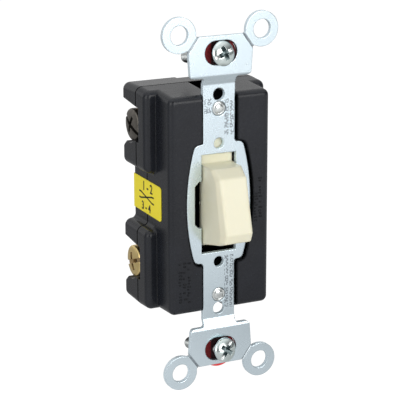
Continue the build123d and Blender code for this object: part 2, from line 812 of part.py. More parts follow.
def crossover_jumper(side, rise):
    """Strip from the lower foot on one side to the upper contact pad on the other side."""
    rear = conductor_front_y
    front = rear - conductor_thickness
    run = Vector(2 * jumper_end_x, 2 * contact_z)
    half = run.length / 2
    end = half + jumper_overlap
    bend = half - jumper_leg
    offset = conductor_thickness / 2
    points = [(rear, -end), (front, -end)]
    if rise > 0:
        points += [
            (front, -bend - jumper_slope), (front - rise, -bend),
            (front - rise, bend), (front, bend + jumper_slope)]
    points += [(front, end), (rear, end)]
    if rise > 0:
        points += [
            (rear, bend + jumper_slope - offset), (rear - rise, bend - offset),
            (rear - rise, -bend + offset), (rear, -bend - jumper_slope + offset)]
    lean = Vector(0, 1).get_signed_angle(run, Vector(0, 0, 1))
    strip = across(polygon(points), -jumper_width / 2, jumper_width / 2)
    strip = Rot(0, side * lean, 0) * strip
    pad = span(
        -side, 1, (foot_inner_x, rear, contact_z - pad_margin),
        (arm_lane_x + contact_radius + pad_side_margin, bay_floor_y, contact_z + foot_margin), 0)
    return strip + pad


# ---------------------------------------------------------------- screws
def combination_recess(top, depth, slot_width, slot_length, cross_length):
    """Slot with a cross recess in a head whose top is at the given height along +Z."""
    middle = Pos(0, 0, top + recess_clearance - (depth + recess_clearance) / 2)
    height = depth + recess_clearance
    return middle * Box(slot_length, slot_width, height) + middle * Box(slot_width, cross_length, height)


def screw_shank(radius, length, point_chamfer):
    shank = Pos(0, 0, -length / 2) * Cylinder(radius, length)
    return chamfer(shank.edges().filter_by(GeomType.CIRCLE).sort_by(Axis.Z)[0], point_chamfer)


def terminal_screw(side, end, corner):
    """Binding-head screw with slot and cross, drawn along +Z and turned to point outward."""
    head = terminal_head_height
    radius = terminal_head_radius
    crown = (radius - terminal_head_shoulder, head - terminal_head_shoulder)
    rim = (radius, head - terminal_head_rim)
    profile = make_face(
        SagittaArc((0, head), crown, terminal_head_bulge)
        + SagittaArc(crown, rim, terminal_head_bulge)
        + Polyline(rim, (radius, 0), (0, 0), (0, head))
    )
    screw = revolve(Plane.XZ * profile, Axis.Z)
    screw = screw + screw_shank(terminal_shank_radius, terminal_shank_length, terminal_point_chamfer)
    screw = screw - combination_recess(
        head, terminal_recess_depth, terminal_slot_width, 2 * radius + overrun, terminal_cross_share * radius)
    place = Pos(side * terminal_seat_x, terminal_screw_y, end * terminal_screw_z)
    return place * Rot(0, side * 90, 0) * Rot(0, 0, terminal_slot_deg[corner]) * screw


def along_mount_screw(end, shape):
    """Place a shape drawn with +Z out of the screw's head on the loosely hanging screw's axis."""
    place = Pos(0, (ear_rear_y - ear_step) / 2, end * mount_slot_z - mount_screw_sag)
    return place * Rot(0, 0, mount_screw_yaw_deg) * Rot(90 - mount_screw_droop_deg, 0, 0) * shape


def mounting_screw(end, end_name):
    """Oval-head machine screw with slot and cross."""
    head = mount_head_height
    radius = mount_head_radius
    rim = (radius, mount_head_rim)
    crown_radius, crown_drop = mount_head_crown
    profile = make_face(
        Line((0, 0), (0, head))
        + ThreePointArc((0, head), (crown_radius, head - crown_drop), rim)
        + Polyline(rim, (radius - mount_head_undercut, 0), (0, 0))
    )
    screw = revolve(Plane.XZ * profile, Axis.Z)
    screw = screw + screw_shank(mount_screw_radius, mount_screw_length, mount_screw_chamfer)
    screw = screw - combination_recess(
        head, mount_recess_depth, mount_slot_cut_width, 2 * radius + overrun, mount_cross_share * radius)
    turned = Pos(0, 0, mount_head_lift[end_name]) * Rot(0, 0, mount_slot_deg[end_name]) * screw
    return along_mount_screw(end, turned)


def retaining_washer(end):
    """Fibre washer behind an ear that keeps the mounting screw from falling out."""
    z = end * mount_slot_z - mount_screw_sag + washer_offset[1]
    front = ear_rear_y + held_clearance
    disc = bore_y(washer_offset[0], z, washer_radius, front, front + washer_thickness)
    shank = Cylinder(mount_screw_radius + washer_hole_clearance, mount_screw_length)
    return disc - along_mount_screw(end, shank)


def rating_label():
    rear = rear_y - label_rear_margin
    outline = Pos((label_front_y + rear) / 2, 0) * Rectangle(rear - label_front_y, 2 * label_half_height)
    corners = [v for v in outline.vertices() if v.X < label_front_y + close_enough]
    outline = fillet(corners, label_corner_radius)
    return across(outline, -body_half_width - label_thickness, -body_half_width)


def build():
    save("mounting_strap", mounting_strap())
    save("front_housing", front_housing())
    save("rear_housing", rear_housing())
    save("assembly_rivets", assembly_rivet(1) + assembly_rivet(-1))
    save("toggle_lever", toggle_lever())
    save("lever_pivot_pin", lever_pivot_pin())
    save("contact_plungers", contact_plunger(1) + contact_plunger(-1))
    save("plunger_springs", plunger_spring(1) + plunger_spring(-1))
    save("stationary_contacts", stationary_contacts())
    save("crossover_jumper_flat", crossover_jumper(-1, 0))
    save("crossover_jumper_bridge", crossover_jumper(1, bridge_rise))
    for side, side_name in ((-1, "left"), (1, "right")):
        save(f"moving_contact_arm_{side_name}", moving_contact_arm(side))
        save(f"moving_contacts_{side_name}", moving_contacts(side))
        for end, end_name in ((1, "upper"), (-1, "lower")):
            corner = f"{end_name}_{side_name}"
            save(f"terminal_plate_{corner}", terminal_plate(side, end))
            save(f"terminal_screw_{corner}", terminal_screw(side, end, corner))
    for end, end_name in ((1, "top"), (-1, "bottom")):
        save(f"mounting_screw_{end_name}", mounting_screw(end, end_name))
        save(f"retaining_washer_{end_name}", retaining_washer(end))
    save("rating_label", rating_label())


build()
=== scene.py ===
import json
import math
import random

import bmesh
import bpy
from mathutils import Matrix, Vector

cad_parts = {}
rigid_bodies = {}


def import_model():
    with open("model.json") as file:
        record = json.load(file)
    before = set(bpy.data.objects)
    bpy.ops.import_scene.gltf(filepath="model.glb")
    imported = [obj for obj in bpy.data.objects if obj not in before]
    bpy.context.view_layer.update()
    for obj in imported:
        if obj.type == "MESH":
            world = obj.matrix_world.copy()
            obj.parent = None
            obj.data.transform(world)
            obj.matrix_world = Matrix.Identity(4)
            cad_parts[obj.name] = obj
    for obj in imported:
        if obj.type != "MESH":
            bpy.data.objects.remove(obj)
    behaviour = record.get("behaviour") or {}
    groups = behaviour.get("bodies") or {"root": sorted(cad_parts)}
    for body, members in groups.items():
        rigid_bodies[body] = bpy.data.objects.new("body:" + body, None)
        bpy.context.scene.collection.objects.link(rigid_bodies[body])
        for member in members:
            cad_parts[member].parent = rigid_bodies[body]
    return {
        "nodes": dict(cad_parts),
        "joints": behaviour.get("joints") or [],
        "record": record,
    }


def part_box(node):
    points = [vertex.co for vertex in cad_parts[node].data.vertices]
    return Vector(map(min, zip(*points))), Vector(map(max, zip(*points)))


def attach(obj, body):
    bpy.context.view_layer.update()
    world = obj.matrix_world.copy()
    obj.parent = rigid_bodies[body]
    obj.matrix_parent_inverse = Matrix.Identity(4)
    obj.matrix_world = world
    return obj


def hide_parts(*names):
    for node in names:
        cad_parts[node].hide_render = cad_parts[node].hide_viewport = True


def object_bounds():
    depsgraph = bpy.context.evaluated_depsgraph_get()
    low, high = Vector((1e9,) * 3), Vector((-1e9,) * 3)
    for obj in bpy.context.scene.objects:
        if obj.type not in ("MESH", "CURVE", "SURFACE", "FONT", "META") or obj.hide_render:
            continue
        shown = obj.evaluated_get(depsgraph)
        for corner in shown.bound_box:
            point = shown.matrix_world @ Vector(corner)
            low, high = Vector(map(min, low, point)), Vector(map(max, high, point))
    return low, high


# Looks of a toggle wall switch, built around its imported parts.
# Axes of the row frame: +X to the viewer's right, -Y towards the viewer, +Z up.
# Named sizes and places are in millimetres and angles in degrees, unless a line says otherwise.

for leftover in list(bpy.data.objects):
    bpy.data.objects.remove(leftover)

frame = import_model()
cad_low, cad_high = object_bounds()
nodes = frame["nodes"]
MM = 0.001
COINCIDENT = 0.0001

# ---- view; the shift is a share of the frame's width ----
VIEW_TARGET = Vector((-5.557, 0.0, 1.517))
VIEW_DISTANCE = 443.40
VIEW_AZIMUTH = 25.786
VIEW_ELEVATION = 16.100
VIEW_ROLL = -0.098
VIEW_SHIFT = -0.0011
LENS = 147.79
SENSOR = 36.0
NEAR_CLIP = 10.0
FAR_CLIP = 20000.0

# ---- floor and lamps ----
FLOOR_DROP = 0.2
FLOOR_REACH = 4000.0
# Middle of the painted shade on the floor card that the metal mirrors.
MIRRORED_SHADE_CENTRE = (45.0, -45.0)
DAYLIGHT = (1.0, 0.995, 0.98)
WARM_DAYLIGHT = (1.0, 0.98, 0.94)

# ---- threads and recesses of all screws ----
THREAD_PITCH = 0.794
THREAD_DEPTH = 0.42
THREAD_RUNOUT_TURNS = 0.6
POINT_NARROWING = 0.9
CUTTER_RISE = 1.0
SLOT_OVERHANG = 0.5
CROSS_FLARE = 0.4
CROSS_MOUTH_DEPTH = 0.1
CROSS_FLOOR_LENGTH_SHARE = 0.32
CROSS_FLOOR_WIDTH_SHARE = 0.55
HEAD_SOFTNESS = 0.07

# ---- mounting screws ----
MOUNT_SAG = 0.45
MOUNT_LIFT = {"top": 0.95, "bottom": 2.2}
MOUNT_SLOT_TURN = {"top": 20.0, "bottom": 51.0}
MOUNT_HEAD_RADIUS = 3.4
MOUNT_HEAD_HEIGHT = 1.9
MOUNT_RIM_HEIGHT = 0.55
MOUNT_RADIUS = 1.75
MOUNT_LENGTH = 20.0
MOUNT_POINT = 1.4
MOUNT_SLOT = {"depth": 0.75, "width": 0.9}
MOUNT_CROSS = {"length": 4.1, "width": 1.25, "depth": 1.75}

# ---- terminal screws ----
TERMINAL_LIFT = 1.3
TERMINAL_SLOT_TURN = {"upper_left": 64.0, "lower_left": 110.0, "upper_right": 140.0, "lower_right": 25.0}
TERMINAL_HEAD_RADIUS = 4.5
TERMINAL_HEAD_HEIGHT = 2.4
TERMINAL_CROWN_RISE = 0.5
TERMINAL_RADIUS = 2.08
TERMINAL_LENGTH = 7.0
TERMINAL_POINT = 0.8
TERMINAL_SLOT = {"depth": 1.1, "width": 1.15}
TERMINAL_CROSS = {"length": 5.4, "width": 1.2, "depth": 1.5}

# ---- rivets ----
RIVET_HEAD_RADIUS = 1.95
RIVET_SHANK_RADIUS = 1.5
RIVET_TAIL_RADIUS = 2.3
RIVET_BORE_RADIUS = 0.9
RIVET_SEAT_DEPTH = 0.9
RIVET_TAIL_THICKNESS = 0.8
RIVET_BORE_DEPTH = 2.5

# ---- raised marks on the housing's front: left edge, lowest edge, columns and rows of each block ----
MARK_BLOCKS = [(-12.6, -27.0, 3, 14), (10.3, -6.4, 2, 15)]
MARK_COLUMN_PITCH = 1.3
MARK_ROW_PITCH = 0.85
MARK_LENGTHS = (0.4, 1.0)
MARK_WIDTH = 0.42
MARK_HEIGHT = 0.2
MARK_SHARE = 0.7
MARK_STRAY_X = 0.35
MARK_STRAY_Z = 0.25
MARK_SOFTNESS = 0.08

# ---- label print ----
LABEL_CLEARANCE = 0.02
LABEL_LINES = [
    {"name": "label_digits_upper", "digits": "1 - 2", "across": 0.2, "up": 1.55, "size": 3.6},
    {"name": "label_digits_lower", "digits": "3 - 4", "across": -0.8, "up": -4.1, "size": 3.2}]
LETTER_HALF_THICKNESS = 0.008
LETTER_BOLDNESS = 0.09
CROSSING_LEFT = -4.2
CROSSING_RIGHT = 3.2
CROSSING_RISE = 0.9
CROSSING_TAIL = 1.0
CROSSING_MIDDLE = -0.2
STROKE_WIDTH = 0.44
STROKE_THICKNESS = 0.016


# ---------------------------------------------------------------- places from the frame
def corners_mm(node):
    """Lowest and highest corner of a CAD node in millimetres."""
    low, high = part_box(node)
    return low / MM, high / MM


def middle_mm(node):
    """Middle of a CAD node's box in millimetres."""
    low, high = corners_mm(node)
    return (low + high) / 2


mounts = {mount["name"]: Vector(mount["pos_m"]) / MM for mount in frame["record"]["mounts"]}
joint_axes = {joint["child"]: Vector(joint["axis"]) for joint in frame["joints"]}

# Both red washers hang equally low in the ears, so half their spacing is a slot's height.
MOUNT_SLOT_Z = (middle_mm("retaining_washer_top").z - middle_mm("retaining_washer_bottom").z) / 2
EAR_MIDDLE_Y = (corners_mm("mounting_strap")[0].y + mounts["plaster_ring_seat_top_left"].y) / 2
HOUSING_FRONT_Y = corners_mm("front_housing")[0].y
PARTING_Y = corners_mm("front_housing")[1].y
RIVET_END_Y = corners_mm("assembly_rivets")[1].y
RIVET_Z = corners_mm("assembly_rivets")[1].z - RIVET_TAIL_RADIUS
SCORE_LOW = (9.51, MOUNT_SLOT_Z + 0.80)
SCORE_HIGH = (6.79, MOUNT_SLOT_Z + 4.53)


# ---------------------------------------------------------------- node helpers
def put(tree, kind, values=None, **settings):
    """Add a node, set its options, and set or link its inputs."""
    made = tree.nodes.new(kind)
    for name, value in settings.items():
        setattr(made, name, value)
    for socket, value in (values or {}).items():
        if isinstance(value, bpy.types.NodeSocket):
            tree.links.new(value, made.inputs[socket])
        else:
            made.inputs[socket].default_value = value
    return made


def combine(tree, operation, first, second=0.0, clamp=False):
    """Result of a math node on numbers or sockets."""
    return put(tree, "ShaderNodeMath", {0: first, 1: second}, operation=operation, use_clamp=clamp).outputs[0]


def ramp(tree, value, low, high, start=0.0, end=1.0):
    """A number that goes from low to high while the value goes from start to end."""
    return put(tree, "ShaderNodeMapRange", {
        "Value": value, "From Min": start, "From Max": end, "To Min": low, "To Max": high}).outputs[0]


def blend_colour(tree, mask, low, high):
    """Colour that goes from low to high with a mask; either may be a socket."""
    mix = put(tree, "ShaderNodeMix", data_type="RGBA")
    tree.links.new(mask, mix.inputs[0])
    for socket, value in ((mix.inputs[6], low), (mix.inputs[7], high)):
        if isinstance(value, bpy.types.NodeSocket):
            tree.links.new(value, socket)
        else:
            socket.default_value = (*value, 1.0)
    return mix.outputs[2]


def place_in_mm(tree):
    """Place on the object in millimetres."""
    place = put(tree, "ShaderNodeTexCoord")
    return put(tree, "ShaderNodeVectorMath", {
        0: place.outputs["Object"], 1: (1 / MM, 1 / MM, 1 / MM)}, operation="MULTIPLY").outputs[0]


def new_group(name, inputs, output="Mask", kind="NodeSocketFloat"):
    """An empty node group with named inputs and one output."""
    group = bpy.data.node_groups.new(name, "ShaderNodeTree")
    for label, value in inputs.items():
        given_kind = "NodeSocketVector" if isinstance(value, tuple) else "NodeSocketFloat"
        socket = group.interface.new_socket(label, in_out="INPUT", socket_type=given_kind)
        socket.default_value = value
    group.interface.new_socket(output, in_out="OUTPUT", socket_type=kind)
    return group, group.nodes.new("NodeGroupInput"), group.nodes.new("NodeGroupOutput")


# ---------------------------------------------------------------- shared surface effects
def make_grain_group():
    """Soft uneven mottling, stretched along any axis."""
    group, given, made = new_group(
        "surface grain", {"Scale": 1.0, "Stretch": (1, 1, 1), "Detail": 4.0, "Contrast": 1.0})
    stretched = put(group, "ShaderNodeVectorMath", {
        0: place_in_mm(group), 1: given.outputs["Stretch"]}, operation="MULTIPLY")
    noise = put(group, "ShaderNodeTexNoise", {
        "Vector": stretched.outputs[0], "Scale": given.outputs["Scale"], "Detail": given.outputs["Detail"],
        "Roughness": 0.6})
    centred = combine(group, "SUBTRACT", noise.outputs["Fac"], 0.5)
    spread = combine(group, "MULTIPLY", centred, given.outputs["Contrast"])
    group.links.new(combine(group, "ADD", spread, 0.5, clamp=True), made.inputs["Mask"])
    return group


def make_edge_line_group():
    """White along sharp edges and corners, broken up by noise."""
    group, given, made = new_group("edge line", {"Radius": 0.2, "Gain": 4.0, "Breakup": 1.5, "Evenness": 0.5})
    radius = combine(group, "MULTIPLY", given.outputs["Radius"], MM)
    rounded = put(group, "ShaderNodeBevel", {"Radius": radius}, samples=6)
    shape = put(group, "ShaderNodeNewGeometry")
    agree = put(group, "ShaderNodeVectorMath", {
        0: rounded.outputs[0], 1: shape.outputs["Normal"]}, operation="DOT_PRODUCT")
    bent = combine(group, "SUBTRACT", 1.0, agree.outputs["Value"])
    strong = combine(group, "MULTIPLY", bent, given.outputs["Gain"], clamp=True)
    noise = put(group, "ShaderNodeTexNoise", {
        "Vector": place_in_mm(group), "Scale": given.outputs["Breakup"], "Detail": 3.0})
    patchy = combine(group, "ADD", noise.outputs["Fac"], given.outputs["Evenness"], clamp=True)
    group.links.new(combine(group, "MULTIPLY", strong, patchy), made.inputs["Mask"])
    return group


def make_soft_edge_group():
    """Normal that rounds sharp edges, with a height mask on top of it."""
    group, given, made = new_group(
        "soft edges", {"Radius": 0.3, "Height": 0.5, "Depth": 0.004}, "Normal", "NodeSocketVector")
    radius = combine(group, "MULTIPLY", given.outputs["Radius"], MM)
    rounded = put(group, "ShaderNodeBevel", {"Radius": radius}, samples=6)
    bump = put(group, "ShaderNodeBump", {
        "Height": given.outputs["Height"], "Strength": 1.0,
        "Distance": combine(group, "MULTIPLY", given.outputs["Depth"], MM), "Normal": rounded.outputs[0]})
    group.links.new(bump.outputs["Normal"], made.inputs["Normal"])
    return group


def make_zone_group():
    """White inside a box given in millimetres, fading over a short edge."""
    group, given, made = new_group("zone", {"Low": (0, 0, 0), "High": (1, 1, 1), "Fade": 0.1})
    place = place_in_mm(group)
    reach = None
    for inner, outer in ((place, given.outputs["Low"]), (given.outputs["High"], place)):
        way = put(group, "ShaderNodeVectorMath", {0: inner, 1: outer}, operation="SUBTRACT")
        sides = put(group, "ShaderNodeSeparateXYZ", {"Vector": way.outputs[0]})
        for axis in "XYZ":
            inside = sides.outputs[axis]
            reach = inside if reach is None else combine(group, "MINIMUM", reach, inside)
    faded = combine(group, "DIVIDE", reach, given.outputs["Fade"], clamp=True)
    group.links.new(faded, made.inputs["Mask"])
    return group


def make_stamped_group():
    """Columns of small broken loops, as a worn gauge stamping leaves."""
    group, given, made = new_group(
        "stamped loops", {"Pitch": 1.0, "Loop": 0.34, "Stroke": 0.13, "Breakup": 1.0, "Wear": 0.42})
    place = place_in_mm(group)
    sides = put(group, "ShaderNodeSeparateXYZ", {"Vector": place})
    flat = put(group, "ShaderNodeCombineXYZ", {"X": sides.outputs["X"], "Y": sides.outputs["Z"]})
    cells = put(group, "ShaderNodeTexVoronoi", {
        "Vector": flat.outputs[0], "Scale": combine(group, "DIVIDE", 1.0, given.outputs["Pitch"]),
        "Randomness": 0.55}, voronoi_dimensions="2D")
    off_loop = combine(group, "SUBTRACT", cells.outputs["Distance"], given.outputs["Loop"])
    aside = combine(group, "ABSOLUTE", off_loop)
    loop = combine(group, "LESS_THAN", aside, given.outputs["Stroke"])
    noise = put(group, "ShaderNodeTexNoise", {
        "Vector": place, "Scale": given.outputs["Breakup"], "Detail": 2.0})
    kept = combine(group, "GREATER_THAN", noise.outputs["Fac"], given.outputs["Wear"])
    group.links.new(combine(group, "MULTIPLY", loop, kept), made.inputs["Mask"])
    return group


def make_scratch_group():
    """Sparse fine hairlines from handling, in two directions."""
    group, given, made = new_group("hairline scratches", {"Scale": 0.4, "Threshold": 0.7})
    place = place_in_mm(group)
    fineness = 14.0
    total = None
    # The turns are in radians and differ from axis to axis, so that the lines run aslant on every face.
    for turn in (0.5, 1.9):
        turned = put(group, "ShaderNodeMapping", {
            "Vector": place, "Rotation": (turn, turn * 0.7, turn * 1.3), "Scale": (1.0, fineness, 1.0)})
        noise = put(group, "ShaderNodeTexNoise", {
            "Vector": turned.outputs[0], "Scale": given.outputs["Scale"], "Detail": 1.0})
        line = combine(group, "GREATER_THAN", noise.outputs["Fac"], given.outputs["Threshold"])
        total = line if total is None else combine(group, "MAXIMUM", total, line)
    group.links.new(total, made.inputs["Mask"])
    return group


def make_sheared_group():
    """White on the sheared edges of sheet metal that lies across Y."""
    group, given, made = new_group("sheared edge", {"Limit": 0.45, "Fade": 0.2})
    shape = put(group, "ShaderNodeTexCoord")
    sides = put(group, "ShaderNodeSeparateXYZ", {"Vector": shape.outputs["Normal"]})
    short = combine(group, "SUBTRACT", given.outputs["Limit"], combine(group, "ABSOLUTE", sides.outputs["Y"]))
    faded = combine(group, "DIVIDE", short, given.outputs["Fade"], clamp=True)
    group.links.new(faded, made.inputs["Mask"])
    return group


def make_score_group():
    """White along the four snap-off grooves, which mirror each other left to right and top to bottom."""
    group, given, made = new_group("snap-off groove", {"Half Width": 0.35, "Fade": 0.15})
    folded = put(group, "ShaderNodeVectorMath", {0: place_in_mm(group)}, operation="ABSOLUTE")
    along = Vector((SCORE_HIGH[0] - SCORE_LOW[0], 0.0, SCORE_HIGH[1] - SCORE_LOW[1])).normalized()
    offset = put(group, "ShaderNodeVectorMath", {
        0: folded.outputs[0], 1: (SCORE_LOW[0], 0.0, SCORE_LOW[1])}, operation="SUBTRACT")
    across = put(group, "ShaderNodeVectorMath", {
        0: offset.outputs[0], 1: (along.z, 0.0, -along.x)}, operation="DOT_PRODUCT")
    aside = combine(group, "ABSOLUTE", across.outputs["Value"])
    inside = combine(group, "SUBTRACT", given.outputs["Half Width"], aside)
    faded = combine(group, "DIVIDE", inside, given.outputs["Fade"], clamp=True)
    group.links.new(faded, made.inputs["Mask"])
    return group


grain_group = make_grain_group()
edge_group = make_edge_line_group()
soft_group = make_soft_edge_group()
zone_group = make_zone_group()
stamped_group = make_stamped_group()
scratch_group = make_scratch_group()
sheared_group = make_sheared_group()
score_group = make_score_group()


def use_group(tree, group, values):
    """Place a shared group in a material and give its one output."""
    return put(tree, "ShaderNodeGroup", values, node_tree=group).outputs[0]


def grain(tree, scale, stretch=(1, 1, 1), detail=4.0, contrast=1.0):
    """Mottling mask; scale is in waves per millimetre."""
    return use_group(tree, grain_group, {
        "Scale": scale, "Stretch": stretch, "Detail": detail, "Contrast": contrast})


def zones(tree, boxes, fade):
    """One mask for several boxes, each given by its low and high corner in millimetres."""
    total = None
    for low, high in boxes:
        mask = use_group(tree, zone_group, {"Low": low, "High": high, "Fade": fade})
        total = mask if total is None else combine(tree, "MAXIMUM", total, mask)
    return total


# ---------------------------------------------------------------- zones that a finish treats in its own way
# Each zone is a list of boxes, and a box is its low and its high corner.
def at_both_slots(low, high):
    """The same box round the middle of each mounting slot."""
    boxes = []
    for slot_z in (MOUNT_SLOT_Z, -MOUNT_SLOT_Z):
        boxes.append(((low[0], low[1], slot_z + low[2]), (high[0], high[1], slot_z + high[2])))
    return boxes


STAMPED = [
    ((-4.35, -2.0, 25.1), (-2.2, 0.2, 29.2)),
    ((1.6, -2.0, 18.7), (2.9, 0.2, 28.8)),
    ((3.25, -2.0, 18.7), (4.45, 0.2, 28.8)),
    ((1.7, -2.0, -30.4), (2.95, 0.2, -15.2)),
    ((3.3, -2.0, -30.6), (4.5, 0.2, -15.2))]
# Painted shade on the inner walls of the mounting slots in the strap's ears.
SHADED_SLOT_WALLS = at_both_slots((-5.3, -1.16, -3.8), (5.3, -0.14, 3.8))
# Painted shade on the washers under the screw heads, and painted light on the tip of the lower washer that
# stands clear below the ear.
SHADE_UNDER_HEADS = at_both_slots((-2.7, -1.0, -4.0), (3.3, 0.5, 4.0))
LIT_FIBRE_TIP = [((-6.0, -2.0, -48.0), (6.0, 2.0, -45.9))]
# Painted shade: the recess round the strap, the rim of that recess, the notch in the top wall and the seam
# between the shells are darkened, as shade falls in them.
SHADED_STRAP_RECESS = [((-14.0, HOUSING_FRONT_Y + 0.18, -29.6), (14.0, 1.5, 29.6))]
SHADED_RECESS_RIM = [((-14.6, HOUSING_FRONT_Y - 0.4, -30.2), (14.6, HOUSING_FRONT_Y + 0.6, 30.2))]
SHADED_TOP_NOTCH = [((-2.6, -1.2, 28.0), (2.6, 8.0, 30.9))]
SHADED_PARTING_LINE = [((-19.0, PARTING_Y - 0.26, -32.0), (19.0, PARTING_Y + 0.28, 32.0))]


# ---------------------------------------------------------------- metals
def new_finish(name):
    """A material with its shader, ready for nodes."""
    material = bpy.data.materials.new(name)
    material.use_nodes = True
    tree = material.node_tree
    shader = tree.nodes["Principled BSDF"]
    return material, tree, shader


def dress(tree, shader, colour, dullness, height, depth, edge_radius):
    """Feed a colour, a dullness and rounded edges with a height mask to the shader."""
    tree.links.new(colour, shader.inputs["Base Color"])
    tree.links.new(dullness, shader.inputs["Roughness"])
    normal = use_group(tree, soft_group, {"Radius": edge_radius, "Height": height, "Depth": depth})
    tree.links.new(normal, shader.inputs["Normal"])


def tint(tree, colour, mask, tone, strength=1.0):
    """Colour turned towards a tone where a mask is white."""
    if strength < 1.0:
        mask = combine(tree, "MULTIPLY", mask, strength)
    return blend_colour(tree, mask, colour, tone)


def metal_skin(tree, light, dark, grain_scale, stretch, detail):
    """Mottled tint of a plated or rolled skin, and its grain nine times as fine."""
    mottle = grain(tree, grain_scale, stretch, detail, contrast=1.6)
    fine = grain(tree, grain_scale * 9.0, stretch, detail=3.0, contrast=1.2)
    return blend_colour(tree, mottle, dark, light), fine


def toned_edges(tree, colour, edge):
    """Colour of the skin with its corners toned."""
    line = use_group(tree, edge_group, {"Radius": 0.16, "Gain": 3.0, "Breakup": 0.8, "Evenness": 0.4})
    return tint(tree, colour, line, edge)


def uneven_dullness(tree, fine, roughness, spread):
    """Roughness that follows the fine grain and is greater along hairlines."""
    hairline = use_group(tree, scratch_group, {"Scale": 0.5, "Threshold": 0.7})
    dullness = ramp(tree, fine, roughness - spread, roughness + spread)
    return combine(tree, "ADD", dullness, combine(tree, "MULTIPLY", hairline, 1.3 * spread), clamp=True)


def plated_metal(name, light, dark, edge, roughness, grain_scale, stretch=(1, 1, 1)):
    """Metal with a plated, turned or rolled skin: mottled tint, uneven shine, hairlines, toned edges."""
    material, tree, shader = new_finish(name)
    shader.inputs["Metallic"].default_value = 1.0
    colour, fine = metal_skin(tree, light, dark, grain_scale, stretch, detail=5.0)
    colour = toned_edges(tree, colour, edge)
    dullness = uneven_dullness(tree, fine, roughness, spread=0.06)
    dress(tree, shader, colour, dullness, fine, depth=0.003, edge_radius=0.14)
    return material


def strap_zinc():
    """Bright zinc on sheet: worn stamping, matt cut edges, and painted shade in the snap-off grooves and on
    the slot walls.
    """
    material, tree, shader = new_finish("zinc plated strap")
    colour, fine = metal_skin(
        tree, light=(0.80, 0.92, 0.99), dark=(0.75, 0.865, 0.935), grain_scale=0.18, stretch=(1, 1, 0.4),
        detail=1.0)
    loops = use_group(tree, stamped_group, {
        "Pitch": 1.15, "Loop": 0.34, "Stroke": 0.13, "Breakup": 1.1, "Wear": 0.42})
    stamped = combine(tree, "MULTIPLY", zones(tree, STAMPED, fade=0.05), loops)
    colour = tint(tree, colour, stamped, (0.30, 0.34, 0.38), strength=0.85)
    colour = toned_edges(tree, colour, (0.58, 0.64, 0.68))

    cut = use_group(tree, sheared_group, {"Limit": 0.45, "Fade": 0.2})
    tree.links.new(ramp(tree, cut, low=1.0, high=0.5), shader.inputs["Metallic"])
    cut_dullness = combine(tree, "MULTIPLY", cut, 0.5)
    skin_dullness = uneven_dullness(tree, fine, roughness=0.27, spread=0.006)
    dullness = combine(tree, "MAXIMUM", skin_dullness, cut_dullness)

    # Painted shade along the snap-off grooves, whose relief the rounded normals smooth away.
    groove = use_group(tree, score_group, {"Half Width": 0.42, "Fade": 0.15})
    colour = tint(tree, colour, groove, (0.42, 0.46, 0.49), strength=0.75)
    # Painted shade: the slot walls are darkened, as shade falls inside the slots.
    colour = tint(tree, colour, zones(tree, SHADED_SLOT_WALLS, fade=0.1), (0.15, 0.15, 0.16))

    # The skin's own grain is 0.0001 millimetres deep, and the stamping 150 times as deep.
    height = combine(tree, "SUBTRACT", fine, combine(tree, "MULTIPLY", stamped, 150.0))
    dress(tree, shader, colour, dullness, height, depth=0.0001, edge_radius=0.32)
    return material


zinc_strap = strap_zinc()
zinc_screw = plated_metal(
    "bright zinc screw", light=(0.78, 0.86, 0.85), dark=(0.52, 0.60, 0.59), edge=(0.62, 0.68, 0.68),
    roughness=0.20, grain_scale=0.45)
# Painted reflection: the slot floors of the mounting screws are a lighter zinc, as they mirror the white sky.
lit_zinc_slot = plated_metal(
    "zinc slot with painted reflection", light=(0.90, 0.93, 0.93), dark=(0.76, 0.80, 0.80), edge=(0.70, 0.74, 0.74),
    roughness=0.26, grain_scale=0.9)
# Painted shade: the cross recesses of the mounting screws are a dark zinc, as shade falls in them.
shaded_zinc_recess = plated_metal(
    "zinc with painted recess shade", light=(0.36, 0.43, 0.44), dark=(0.09, 0.125, 0.13), edge=(0.20, 0.26, 0.28),
    roughness=0.30, grain_scale=1.2)
zinc_thread = plated_metal(
    "zinc plated thread", light=(0.46, 0.48, 0.48), dark=(0.26, 0.28, 0.28), edge=(0.60, 0.62, 0.62),
    roughness=0.34, grain_scale=0.8)
rivet_steel = plated_metal(
    "bright rivet", light=(0.86, 0.89, 0.88), dark=(0.66, 0.70, 0.70), edge=(0.40, 0.43, 0.43),
    roughness=0.20, grain_scale=0.9)
spring_steel = plated_metal(
    "spring steel", light=(0.56, 0.56, 0.55), dark=(0.42, 0.42, 0.41), edge=(0.64, 0.64, 0.63),
    roughness=0.28, grain_scale=1.0)
brass_strip = plated_metal(
    "brass strip", light=(0.78, 0.58, 0.28), dark=(0.62, 0.43, 0.18), edge=(0.82, 0.64, 0.34),
    roughness=0.34, grain_scale=0.4, stretch=(1, 1, 0.3))
turned_brass = plated_metal(
    "turned brass", light=(1.0, 0.80, 0.38), dark=(0.84, 0.62, 0.26), edge=(0.88, 0.70, 0.40),
    roughness=0.33, grain_scale=0.7)
# Painted shade: the slots and cross recesses of the brass terminal screws are a darker brass.
shaded_brass_slot = plated_metal(
    "brass slot with painted shade", light=(0.70, 0.50, 0.24), dark=(0.52, 0.35, 0.14), edge=(0.60, 0.42, 0.20),
    roughness=0.40, grain_scale=0.9)
shaded_brass_recess = plated_metal(
    "brass with painted recess shade", light=(0.26, 0.16, 0.06), dark=(0.10, 0.06, 0.02), edge=(0.30, 0.20, 0.08),
    roughness=0.45, grain_scale=1.0)
dark_oxide = plated_metal(
    "dark oxide", light=(0.26, 0.24, 0.21), dark=(0.12, 0.11, 0.10), edge=(0.40, 0.37, 0.32),
    roughness=0.42, grain_scale=0.7)
